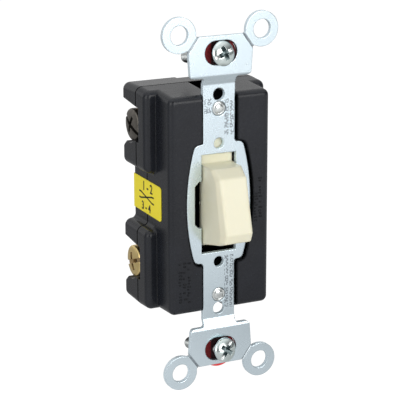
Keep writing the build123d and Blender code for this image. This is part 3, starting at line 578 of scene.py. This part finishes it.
# Painted shade: the slots and cross recesses of the dark terminal screws are near black.
shaded_oxide_recess = plated_metal(
    "oxide with painted recess shade", light=(0.05, 0.045, 0.04), dark=(0.02, 0.02, 0.018), edge=(0.06, 0.055, 0.05),
    roughness=0.5, grain_scale=1.0)
silver_alloy = plated_metal(
    "silver contact", light=(0.86, 0.85, 0.82), dark=(0.70, 0.69, 0.66), edge=(0.90, 0.89, 0.86),
    roughness=0.30, grain_scale=1.2)


# ---------------------------------------------------------------- plastics and fibre
def moulded_plastic(
        name, light, dark, worn, roughness, specular, peel_scale, peel_depth=0.002, edge_radius=0.3,
        subsurface=0.0, gaps=None, rims=None):
    """Moulded plastic: flow mottling, orange peel, corners toned in the edge colour, which is rubbed wear on
    most finishes and a painted highlight on the raised marks, and painted shade in dark gaps with dark rims.
    """
    material, tree, shader = new_finish(name)
    shader.inputs["Specular IOR Level"].default_value = specular
    if subsurface:
        shader.inputs["Subsurface Weight"].default_value = subsurface
        shader.inputs["Subsurface Radius"].default_value = (1.0, 0.8, 0.5)
        shader.inputs["Subsurface Scale"].default_value = 0.6 * MM
    flow = grain(tree, scale=0.12, detail=3.0, contrast=1.8)
    peel = grain(tree, peel_scale)
    rubbed = use_group(tree, edge_group, {
        "Radius": edge_radius, "Gain": 1.2, "Breakup": 0.9, "Evenness": 0.1})
    colour = blend_colour(tree, flow, dark, light)
    colour = tint(tree, colour, rubbed, worn)
    dullness = ramp(tree, peel, roughness - 0.06, roughness + 0.08)
    # Painted shade: gaps and the rims of recesses turn near black and dull, and metallic so that they mirror
    # nothing, as if in deep shade.
    if gaps:
        crisp = use_group(tree, edge_group, {"Radius": 0.9, "Gain": 14.0, "Breakup": 0.9, "Evenness": 0.7})
        rim = combine(tree, "MULTIPLY", zones(tree, rims, fade=0.1), crisp)
        shade = combine(tree, "MAXIMUM", zones(tree, gaps, fade=0.06), rim)
        colour = tint(tree, colour, shade, tuple(0.2 * part for part in dark))
        dullness = combine(tree, "MAXIMUM", dullness, shade)
        tree.links.new(shade, shader.inputs["Metallic"])
    dress(tree, shader, colour, dullness, peel, peel_depth, edge_radius)
    return material


def pressed_fibre(name, light, dark, lit_tip, painted_shade, roughness):
    """Vulcanised fibre: matt, with short strands, painted as lit where it stands clear and painted shade
    under the heads.
    """
    material, tree, shader = new_finish(name)
    shader.inputs["Specular IOR Level"].default_value = 0.3
    strands = grain(tree, scale=1.5, stretch=(1, 1, 6), detail=6.0, contrast=2.2)
    colour = blend_colour(tree, strands, dark, light)
    # Painted light: the tip that stands clear takes the lit red, and round the shanks under the heads a
    # painted shade.
    colour = tint(tree, colour, zones(tree, LIT_FIBRE_TIP, fade=0.3), lit_tip)
    colour = tint(tree, colour, zones(tree, SHADE_UNDER_HEADS, fade=0.45), painted_shade)
    dullness = ramp(tree, strands, roughness - 0.1, roughness + 0.1)
    dress(tree, shader, colour, dullness, strands, depth=0.02, edge_radius=0.08)
    return material


# The housing's gaps and the rims of its recesses carry painted shade.
black_thermoset = moulded_plastic(
    "black thermoset", light=(0.0135, 0.0155, 0.0215), dark=(0.009, 0.0102, 0.014),
    worn=(0.030, 0.030, 0.030), roughness=0.26, specular=0.36, peel_scale=0.8, edge_radius=0.4,
    gaps=SHADED_STRAP_RECESS + SHADED_TOP_NOTCH + SHADED_PARTING_LINE, rims=SHADED_RECESS_RIM)
# Painted light on the raised marks: their tops are a little darker than the housing as painted shade, and
# their edge colour is a painted highlight on the bevels.
moulded_mark = moulded_plastic(
    "black thermoset mark", light=(0.012, 0.013, 0.016), dark=(0.007, 0.0075, 0.010), worn=(0.12, 0.12, 0.13),
    roughness=0.36, specular=0.16, peel_scale=0.8, edge_radius=0.12)
ivory_plastic = moulded_plastic(
    "ivory plastic", light=(0.845, 0.815, 0.64), dark=(0.815, 0.785, 0.605), worn=(0.86, 0.835, 0.67),
    roughness=0.36, specular=0.42, peel_scale=1.1, edge_radius=0.9, subsurface=0.08)
white_nylon = moulded_plastic(
    "white nylon", light=(0.80, 0.80, 0.77), dark=(0.74, 0.74, 0.71), worn=(0.84, 0.84, 0.82),
    roughness=0.42, specular=0.4, peel_scale=1.6, peel_depth=0.003)
label_film = moulded_plastic(
    "yellow label film", light=(0.97, 0.83, 0.030), dark=(0.94, 0.79, 0.025), worn=(0.97, 0.84, 0.06),
    roughness=0.38, specular=0.35, peel_scale=0.9)
label_ink = moulded_plastic(
    "label ink", light=(0.03, 0.03, 0.02), dark=(0.015, 0.015, 0.01), worn=(0.05, 0.05, 0.03),
    roughness=0.5, specular=0.3, peel_scale=2.0, peel_depth=0.001, edge_radius=0.02)
# Painted shade: the red fibre's own colours are darkened as in the shade behind the ears; the tip colour is
# the lit red.
red_fibre = pressed_fibre(
    "red fibre", light=(0.26, 0.012, 0.016), dark=(0.15, 0.006, 0.008), lit_tip=(0.82, 0.05, 0.05),
    painted_shade=(0.020, 0.004, 0.005), roughness=0.6)

cad_finishes = {
    "mounting_strap": zinc_strap, "front_housing": black_thermoset, "rear_housing": black_thermoset,
    "assembly_rivets": rivet_steel, "toggle_lever": ivory_plastic, "lever_pivot_pin": spring_steel,
    "contact_plungers": white_nylon, "plunger_springs": spring_steel, "stationary_contacts": silver_alloy,
    "crossover_jumper_flat": brass_strip, "crossover_jumper_bridge": brass_strip,
    "moving_contact_arm_left": brass_strip, "moving_contact_arm_right": brass_strip,
    "moving_contacts_left": silver_alloy, "moving_contacts_right": silver_alloy,
    "retaining_washer_top": red_fibre, "retaining_washer_bottom": red_fibre, "rating_label": label_film,
    "mounting_screw_top": zinc_screw, "mounting_screw_bottom": zinc_screw,
}
for corner in TERMINAL_SLOT_TURN:
    cad_finishes[f"terminal_plate_{corner}"] = brass_strip
    cad_finishes[f"terminal_screw_{corner}"] = dark_oxide if corner.startswith("upper") else turned_brass
for node_name, finish in cad_finishes.items():
    for holder in nodes[node_name].material_slots:
        holder.material = finish


# ---------------------------------------------------------------- mesh helpers
def smooth_up_to(shape, angle):
    """Shade a bmesh smooth, and mark the edges sharper than an angle and the open ones as sharp."""
    limit = math.radians(angle)
    for face in shape.faces:
        face.smooth = True
    for edge in shape.edges:
        edge.smooth = len(edge.link_faces) == 2 and edge.calc_face_angle(0.0) < limit


def object_from(name, shape, finish, smooth_angle=35.0):
    """Turn a bmesh in millimetres into a named object in metres."""
    bmesh.ops.recalc_face_normals(shape, faces=shape.faces)
    shape.transform(Matrix.Scale(MM, 4))
    smooth_up_to(shape, smooth_angle)
    mesh = bpy.data.meshes.new(name)
    shape.to_mesh(mesh)
    shape.free()
    mesh.materials.append(finish)
    made = bpy.data.objects.new(name, mesh)
    bpy.context.scene.collection.objects.link(made)
    return made


def join_rings(shape, first, second):
    """Faces between two rings of as many vertices; a ring of one vertex closes to a point."""
    steps = max(len(first), len(second))
    for near in range(steps):
        far = (near + 1) % steps
        if len(first) == 1:
            shape.faces.new((first[0], second[far], second[near]))
        elif len(second) == 1:
            shape.faces.new((first[near], first[far], second[0]))
        else:
            shape.faces.new((first[near], first[far], second[far], second[near]))


def turned_shape(profile, steps):
    """Closed solid of revolution about Z from (radius, height) points; ends on the axis."""
    shape = bmesh.new()
    rings = []
    for radius, height in profile:
        turns = [2 * math.pi * step / steps for step in range(steps)] if radius else [0.0]
        rings.append([
            shape.verts.new((radius * math.cos(turn), radius * math.sin(turn), height)) for turn in turns])
    for lower, upper in zip(rings, rings[1:]):
        join_rings(shape, lower, upper)
    return shape


def threaded_shank(radius, length, point_length, steps=36, rows_per_turn=8):
    """Helical thread cut into a rod that runs down from the origin, with a tapered point."""
    shape = bmesh.new()
    rows = int(length / THREAD_PITCH * rows_per_turn)
    rings = []
    for row in range(rows + 1):
        depth = row / rows * length
        runout = min(1.0, depth / (THREAD_RUNOUT_TURNS * THREAD_PITCH))
        taper = min(1.0, (length - depth) / point_length)
        widest = radius - POINT_NARROWING * (1.0 - taper)
        ring = []
        for step in range(steps):
            turn = step / steps
            phase = (depth / THREAD_PITCH + turn) % 1.0
            groove = abs(2.0 * phase - 1.0)
            local = min(radius - THREAD_DEPTH * groove * runout, widest)
            angle = 2 * math.pi * turn
            ring.append(shape.verts.new((local * math.cos(angle), local * math.sin(angle), -depth)))
        rings.append(ring)
    for upper, lower in zip(rings, rings[1:]):
        join_rings(shape, upper, lower)
    shape.faces.new(rings[0])
    shape.faces.new(list(reversed(rings[-1])))
    return shape


def add_prism(shape, rings):
    """Add a closed solid through rings of (x, y, z) corners to a bmesh."""
    made = [[shape.verts.new(point) for point in ring] for ring in rings]
    for upper, lower in zip(made, made[1:]):
        join_rings(shape, upper, lower)
    shape.faces.new(made[0])
    shape.faces.new(list(reversed(made[-1])))


def add_box(shape, low, high):
    """Add a closed box to a bmesh."""
    outline = [(low[0], low[1]), (high[0], low[1]), (high[0], high[1]), (low[0], high[1])]
    add_prism(shape, [[(x, y, z) for x, y in outline] for z in (low[2], high[2])])


def slot_cutter(top, head_radius, depth, width):
    """Straight slot right across a head whose crown is at a height."""
    slot = bmesh.new()
    reach = head_radius + SLOT_OVERHANG
    add_box(slot, (-reach, -width / 2, top - depth), (reach, width / 2, top + CUTTER_RISE))
    return slot


def cross_cutter(top, length, width, depth):
    """Cross recess in a head whose crown is at a height; it narrows towards its floor."""
    cross = bmesh.new()
    levels = [
        (top + CUTTER_RISE, length / 2 + CROSS_FLARE, width / 2),
        (top - CROSS_MOUTH_DEPTH, length / 2, width / 2),
        (top - depth, length / 2 * CROSS_FLOOR_LENGTH_SHARE, width / 2 * CROSS_FLOOR_WIDTH_SHARE)]
    for turned in (False, True):
        rings = []
        for height, reach, aside in levels:
            outline = [(-reach, -aside), (reach, -aside), (reach, aside), (-reach, aside)]
            if turned:
                outline = [(-y, x) for x, y in outline]
            rings.append([(x, y, height) for x, y in outline])
        add_prism(cross, rings)
    return cross


def apply_modifiers(target):
    """Replace an object's mesh by what its modifiers make of it."""
    bpy.context.view_layer.update()
    result = bpy.data.meshes.new_from_object(target.evaluated_get(bpy.context.evaluated_depsgraph_get()))
    target.modifiers.clear()
    target.data = result


def cut_with(target, *cuts):
    """Subtract shapes, each given with the finish that its cut faces take."""
    for number, (cutter, finish) in enumerate(cuts, 1):
        target.data.materials.append(finish)
        for face in cutter.faces:
            face.material_index = number
        tool = object_from(f"{target.name}.tool{number}", cutter, target.data.materials[0])
        for earlier in target.data.materials[1:]:
            tool.data.materials.append(earlier)
        step = target.modifiers.new("cut", "BOOLEAN")
        step.operation = "DIFFERENCE"
        step.solver = "EXACT"
        step.use_self = True
        step.object = tool
        apply_modifiers(target)
        bpy.data.objects.remove(tool)


def soften(target, width, sharpest=35.0):
    """Bevel the sharp edges so that they catch the light, then merge corners that coincide."""
    step = target.modifiers.new("soft edges", "BEVEL")
    step.width = width * MM
    step.segments = 2
    step.limit_method = "ANGLE"
    step.angle_limit = math.radians(sharpest)
    step.harden_normals = False
    apply_modifiers(target)
    shape = bmesh.new()
    shape.from_mesh(target.data)
    bmesh.ops.remove_doubles(shape, verts=shape.verts, dist=COINCIDENT * MM)
    bmesh.ops.dissolve_degenerate(shape, edges=shape.edges, dist=COINCIDENT * MM)
    smooth_up_to(shape, sharpest)
    shape.to_mesh(target.data)
    shape.free()


def join_into(target, other):
    """Merge another object's mesh into the target's, as separate closed shells."""
    shape = bmesh.new()
    shape.from_mesh(target.data)
    shape.from_mesh(other.data)
    shape.to_mesh(target.data)
    shape.free()
    bpy.data.objects.remove(other)


def shift_mm(x, y, z):
    """Matrix of a move in millimetres."""
    return Matrix.Translation(Vector((x, y, z)) * MM)


def turn_about(axis, degrees):
    """Matrix of a turn about an axis."""
    return Matrix.Rotation(math.radians(degrees), 4, axis)


# ---------------------------------------------------------------- screws
def make_screw(name, finish, thread_finish, head_profile, radius, length, point_length, cuts, place):
    """Head with its recess, and a threaded shank below it, placed in the row frame."""
    head = object_from(name, turned_shape(head_profile, steps=64), finish)
    cut_with(head, *cuts)
    soften(head, HEAD_SOFTNESS)
    shank = threaded_shank(radius, length, point_length)
    for face in shank.faces:
        face.material_index = len(head.data.materials)
    head.data.materials.append(thread_finish)
    join_into(head, object_from(name + ".shank", shank, finish, smooth_angle=50.0))
    head.data.transform(place)
    return head


def oval_head():
    """Profile of a mounting screw's head: an oval dome, a thin rim and a flat underside."""
    radius, rim = MOUNT_HEAD_RADIUS, MOUNT_RIM_HEIGHT
    turns = [math.radians(angle) for angle in range(0, 91, 6)]
    dome = [(radius * math.sin(turn), rim + (MOUNT_HEAD_HEIGHT - rim) * math.cos(turn)) for turn in turns]
    return dome + [(radius - 0.10, 0.34), (radius - 0.35, 0.0), (0.0, 0.0)]


def binding_head():
    """Profile of a terminal screw's head: a low crown, a rounded shoulder and a straight side."""
    radius, height = TERMINAL_HEAD_RADIUS, TERMINAL_HEAD_HEIGHT
    crown_radius = radius - 0.5
    shares = [step / 6 for step in range(7)]
    crown = [(crown_radius * share, height - TERMINAL_CROWN_RISE * share ** 2) for share in shares]
    shoulder = [(radius - 0.22, height - 0.62), (radius - 0.06, height - 0.84), (radius, height - 1.1)]
    return crown + shoulder + [(radius, 0.25), (radius - 0.12, 0.0), (0.0, 0.0)]


def mounting_screw(end):
    """Oval-head screw that hangs loosely in the ear's slot, head tilted up and to the right."""
    side = 1 if end == "top" else -1
    out = joint_axes[f"mounting_{end}"]
    yaw = math.degrees(math.atan2(out.x, -out.y))
    droop = math.degrees(math.asin(out.z))
    place = (
        shift_mm(0, EAR_MIDDLE_Y, side * MOUNT_SLOT_Z - MOUNT_SAG)
        @ turn_about("Z", yaw)
        @ turn_about("X", 90 - droop)
        @ shift_mm(0, 0, MOUNT_LIFT[end])
        @ turn_about("Z", MOUNT_SLOT_TURN[end]))
    slot = slot_cutter(MOUNT_HEAD_HEIGHT, MOUNT_HEAD_RADIUS, **MOUNT_SLOT)
    cross = cross_cutter(MOUNT_HEAD_HEIGHT, **MOUNT_CROSS)
    screw = make_screw(
        f"threaded_mounting_screw_{end}", zinc_screw, zinc_thread, oval_head(), MOUNT_RADIUS, MOUNT_LENGTH,
        MOUNT_POINT, [(slot, lit_zinc_slot), (cross, shaded_zinc_recess)], place)
    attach(screw, f"mounting_{end}")
    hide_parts(f"mounting_screw_{end}")


def terminal_screw(corner):
    """Binding-head screw in a side well, standing off its plate; the upper pair is dark, the lower brass."""
    out = joint_axes[f"terminal_{corner}"]
    seat = mounts[f"wire_terminal_{corner}"] + out * TERMINAL_LIFT
    place = shift_mm(*seat) @ turn_about("Y", 90 * out.x) @ turn_about("Z", TERMINAL_SLOT_TURN[corner])
    slot = slot_cutter(TERMINAL_HEAD_HEIGHT, TERMINAL_HEAD_RADIUS, **TERMINAL_SLOT)
    cross = cross_cutter(TERMINAL_HEAD_HEIGHT, **TERMINAL_CROSS)
    upper = corner.startswith("upper")
    finish = dark_oxide if upper else turned_brass
    cuts = [(slot, shaded_oxide_recess if upper else shaded_brass_slot), (cross, shaded_oxide_recess if upper else shaded_brass_recess)]
    screw = make_screw(
        f"threaded_terminal_screw_{corner}", finish, finish, binding_head(), TERMINAL_RADIUS, TERMINAL_LENGTH,
        TERMINAL_POINT, cuts, place)
    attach(screw, f"terminal_{corner}")
    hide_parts(f"terminal_screw_{corner}")


for end in ("top", "bottom"):
    mounting_screw(end)
for corner in TERMINAL_SLOT_TURN:
    terminal_screw(corner)


# ---------------------------------------------------------------- rivets
def rivet_profile():
    """Profile of a rivet: a dome, a shallow ring, a rolled rim, a shank and a flared tail with a bore."""
    outer, shank, tail = RIVET_HEAD_RADIUS, RIVET_SHANK_RADIUS, RIVET_TAIL_RADIUS
    flare = RIVET_TAIL_THICKNESS - RIVET_END_Y
    bore_floor = RIVET_BORE_DEPTH - RIVET_END_Y
    dome = [(0.0, 0.25), (0.75, 0.21), (1.15, 0.10), (1.32, -0.04)]
    rim = [(shank, 0.06), (outer - 0.17, 0.02), (outer - 0.03, -0.1), (outer, -0.22)]
    return dome + rim + [
        (outer, -RIVET_SEAT_DEPTH), (shank, -RIVET_SEAT_DEPTH), (shank, flare), (tail, flare),
        (tail, flare - 0.4), (tail - 0.4, -RIVET_END_Y), (RIVET_BORE_RADIUS, -RIVET_END_Y),
        (RIVET_BORE_RADIUS, bore_floor), (0.0, bore_floor)]


def swaged_rivets():
    """Both rivets, each with a rolled rim round a shallow ring in its head, and a tubular tail."""
    both, lower = [object_from(name, turned_shape(rivet_profile(), steps=48), rivet_steel) for name in (
        "swaged_rivets", "lower_rivet")]
    both.data.transform(shift_mm(0, 0, RIVET_Z) @ turn_about("X", 90))
    lower.data.transform(shift_mm(0, 0, -RIVET_Z) @ turn_about("X", 90))
    join_into(both, lower)
    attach(both, "housing")
    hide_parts("assembly_rivets")


# ---------------------------------------------------------------- marks and label print
def moulded_marks():
    """Plain raised bars in columns on the housing's front, left and right of the strap."""
    dice = random.Random(11)
    shape = bmesh.new()
    for left, lowest, columns, rows in MARK_BLOCKS:
        for column in range(columns):
            for row in range(rows):
                if dice.random() < MARK_SHARE:
                    x = left + column * MARK_COLUMN_PITCH + dice.uniform(0.0, MARK_STRAY_X)
                    z = lowest + row * MARK_ROW_PITCH + dice.uniform(0.0, MARK_STRAY_Z)
                    length = dice.uniform(*MARK_LENGTHS)
                    low = (x, HOUSING_FRONT_Y - MARK_HEIGHT, z)
                    high = (x + length, HOUSING_FRONT_Y + MARK_HEIGHT, z + MARK_WIDTH)
                    add_box(shape, low, high)
    marks = object_from("moulded_marks", shape, moulded_mark)
    soften(marks, MARK_SOFTNESS)
    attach(marks, "housing")


def add_stroke(shape, start, end):
    """Add a flat bar with square ends between two points to a bmesh."""
    along = (Vector(end) - Vector(start)).normalized() * STROKE_WIDTH / 2
    side = Vector((-along.y, along.x))
    first, last = Vector(start) - along, Vector(end) + along
    outline = [first - side, last - side, last + side, first + side]
    levels = (-STROKE_THICKNESS / 2, STROKE_THICKNESS / 2)
    add_prism(shape, [[(point.x, point.y, level) for point in outline] for level in levels])


def label_print():
    """Plain digits round a crossing-lines diagram on the side label."""
    middle = middle_mm("rating_label")
    face_x = corners_mm("rating_label")[0].x - LABEL_CLEARANCE
    upright = shift_mm(face_x, middle.y, middle.z) @ turn_about("Z", -90) @ turn_about("X", 90)
    for line in LABEL_LINES:
        letters = bpy.data.curves.new(line["name"], "FONT")
        letters.body = line["digits"]
        letters.size = line["size"] * MM
        letters.align_x = "CENTER"
        letters.extrude = LETTER_HALF_THICKNESS * MM
        letters.offset = LETTER_BOLDNESS * MM
        letters.materials.append(label_ink)
        holder = bpy.data.objects.new(line["name"], letters)
        bpy.context.scene.collection.objects.link(holder)
        holder.matrix_world = upright @ shift_mm(line["across"], line["up"], 0)
        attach(holder, "housing")
    shape = bmesh.new()
    for level in (CROSSING_RISE, -CROSSING_RISE):
        add_stroke(shape, (CROSSING_LEFT, level), (CROSSING_RIGHT, -level))
        add_stroke(shape, (CROSSING_LEFT - CROSSING_TAIL, level), (CROSSING_LEFT, level))
        add_stroke(shape, (CROSSING_RIGHT, level), (CROSSING_RIGHT + CROSSING_TAIL, level))
    diagram = object_from("label_diagram", shape, label_ink)
    diagram.data.transform(upright @ shift_mm(0, CROSSING_MIDDLE, 0))
    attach(diagram, "housing")


swaged_rivets()
moulded_marks()
label_print()


# ---------------------------------------------------------------- studio
def split_axes(tree, socket):
    """The X, Y and Z of a vector."""
    return put(tree, "ShaderNodeSeparateXYZ", {"Vector": socket}).outputs


def ray_kinds(tree):
    """Masks for rays that the camera sees, also through glass, and for rays that a gloss mirrors."""
    path = put(tree, "ShaderNodeLightPath")
    seen = combine(tree, "MAXIMUM", path.outputs["Is Camera Ray"], path.outputs["Is Transmission Ray"])
    return seen, path.outputs["Is Glossy Ray"]


def white_light(tree, kind, strength):
    """White background or emission of a strength."""
    return put(tree, kind, {"Color": (1, 1, 1, 1), "Strength": strength}).outputs[0]


def mix_shaders(tree, share, first, second):
    """First shader where the share is 0 and second where it is 1."""
    return put(tree, "ShaderNodeMixShader", {0: share, 1: first, 2: second}).outputs[0]


def studio_world():
    """White to the eye; for light and reflections a sky from horizon to zenith and a pale backdrop."""
    world = bpy.data.worlds.new("studio")
    bpy.context.scene.world = world
    world.use_nodes = True
    tree = world.node_tree
    tree.nodes.clear()
    seen, mirrored = ray_kinds(tree)
    way = split_axes(tree, put(tree, "ShaderNodeTexCoord").outputs["Generated"])
    sky = ramp(tree, way["Z"], low=0.17, high=1.05, start=0.34, end=0.74)
    behind = ramp(tree, way["Y"], low=0.0, high=0.75, start=0.3, end=0.7)
    under_sky = ramp(tree, way["Z"], low=1.0, high=0.0, start=0.35, end=0.6)
    backdrop = combine(tree, "MULTIPLY", behind, under_sky)
    lighting = ramp(tree, way["Z"], low=0.66, high=0.36, start=0.0, end=0.9)
    reflected = mix_shaders(
        tree, mirrored, white_light(tree, "ShaderNodeBackground", lighting),
        white_light(tree, "ShaderNodeBackground", combine(tree, "MAXIMUM", sky, backdrop)))
    shown = mix_shaders(tree, seen, reflected, white_light(tree, "ShaderNodeBackground", strength=1.0))
    put(tree, "ShaderNodeOutputWorld", {"Surface": shown})


def studio_floor():
    """Pale floor that reads white, keeps a soft shadow, and in reflections shows a card with painted shade
    that darkens near the part.
    """
    level = cad_low.z / MM - FLOOR_DROP
    left, right = -FLOOR_REACH, FLOOR_REACH
    shape = bmesh.new()
    shape.faces.new([shape.verts.new((x, y, level)) for x, y in (
        (left, left), (right, left), (right, right), (left, right))])
    material = bpy.data.materials.new("studio floor")
    material.use_nodes = True
    tree = material.node_tree
    tree.nodes.clear()
    seen, mirrored = ray_kinds(tree)
    cloth = grain(tree, scale=0.02, detail=2.0, contrast=0.3)
    pale = blend_colour(tree, cloth, (0.86, 0.86, 0.86), (0.90, 0.90, 0.90))
    matte = put(tree, "ShaderNodeBsdfDiffuse", {"Color": pale}).outputs[0]
    # Painted shade in reflections: the card that the metal mirrors is darker near the part and behind it, as
    # the part's shadow on the floor.
    place = place_in_mm(tree)
    from_darkest = put(tree, "ShaderNodeVectorMath", {
        0: place, 1: (*MIRRORED_SHADE_CENTRE, level)}, operation="DISTANCE").outputs["Value"]
    near = ramp(tree, from_darkest, low=0.50, high=0.79, start=20.0, end=80.0)
    far = ramp(tree, from_darkest, low=0.0, high=0.04, start=90.0, end=360.0)
    behind = ramp(tree, split_axes(tree, place)["Y"], low=1.0, high=0.45, start=-20.0, end=60.0)
    card = combine(tree, "MULTIPLY", combine(tree, "ADD", near, far), behind)
    glowing_share = 0.74
    glow = white_light(tree, "ShaderNodeEmission", strength=1.26)
    to_eye = mix_shaders(tree, glowing_share, matte, glow)
    reflected = mix_shaders(tree, mirrored, matte, white_light(tree, "ShaderNodeEmission", card))
    put(tree, "ShaderNodeOutputMaterial", {"Surface": mix_shaders(tree, seen, reflected, to_eye)})
    floor = object_from("studio_floor", shape, material)


def away_from(azimuth, elevation):
    """Direction from the object outwards; azimuth 0 is in front, positive to the viewer's right."""
    turn = math.radians(azimuth)
    rise = math.radians(elevation)
    return Vector((math.sin(turn) * math.cos(rise), -math.cos(turn) * math.cos(rise), math.sin(rise)))


def area_lamp(name, azimuth, elevation, distance, size, power, colour):
    """Soft round lamp aimed at the object; distance and size are in metres, power in watts."""
    lamp = bpy.data.lights.new(name, "AREA")
    lamp.shape = "DISK"
    lamp.size = size
    lamp.energy = power
    lamp.color = colour
    holder = bpy.data.objects.new(name, lamp)
    bpy.context.scene.collection.objects.link(holder)
    away = away_from(azimuth, elevation)
    holder.location = away * distance
    holder.rotation_mode = "QUATERNION"
    holder.rotation_quaternion = (-away).to_track_quat("-Z", "Y")


def studio_camera():
    """Long lens from the front left, a little above the part."""
    camera = bpy.data.cameras.new("view")
    camera.sensor_width = SENSOR
    camera.lens = LENS
    camera.shift_x = VIEW_SHIFT
    camera.clip_start = NEAR_CLIP * MM
    camera.clip_end = FAR_CLIP * MM
    holder = bpy.data.objects.new("view", camera)
    bpy.context.scene.collection.objects.link(holder)
    away = away_from(-VIEW_AZIMUTH, VIEW_ELEVATION)
    holder.location = (VIEW_TARGET + away * VIEW_DISTANCE) * MM
    holder.rotation_mode = "QUATERNION"
    roll = Matrix.Rotation(math.radians(VIEW_ROLL), 3, "Z").to_quaternion()
    holder.rotation_quaternion = (-away).to_track_quat("-Z", "Y") @ roll
    bpy.context.scene.camera = holder


studio_world()
studio_floor()
area_lamp("key", azimuth=12, elevation=14, distance=0.8, size=0.55, power=2.55, colour=DAYLIGHT)
area_lamp("left fill", azimuth=-60, elevation=15, distance=0.8, size=0.6, power=2.0, colour=DAYLIGHT)
area_lamp("top", azimuth=-10, elevation=82, distance=0.7, size=0.5, power=0.3, colour=WARM_DAYLIGHT)
studio_camera()
bpy.context.scene.view_settings.view_transform = "Standard"
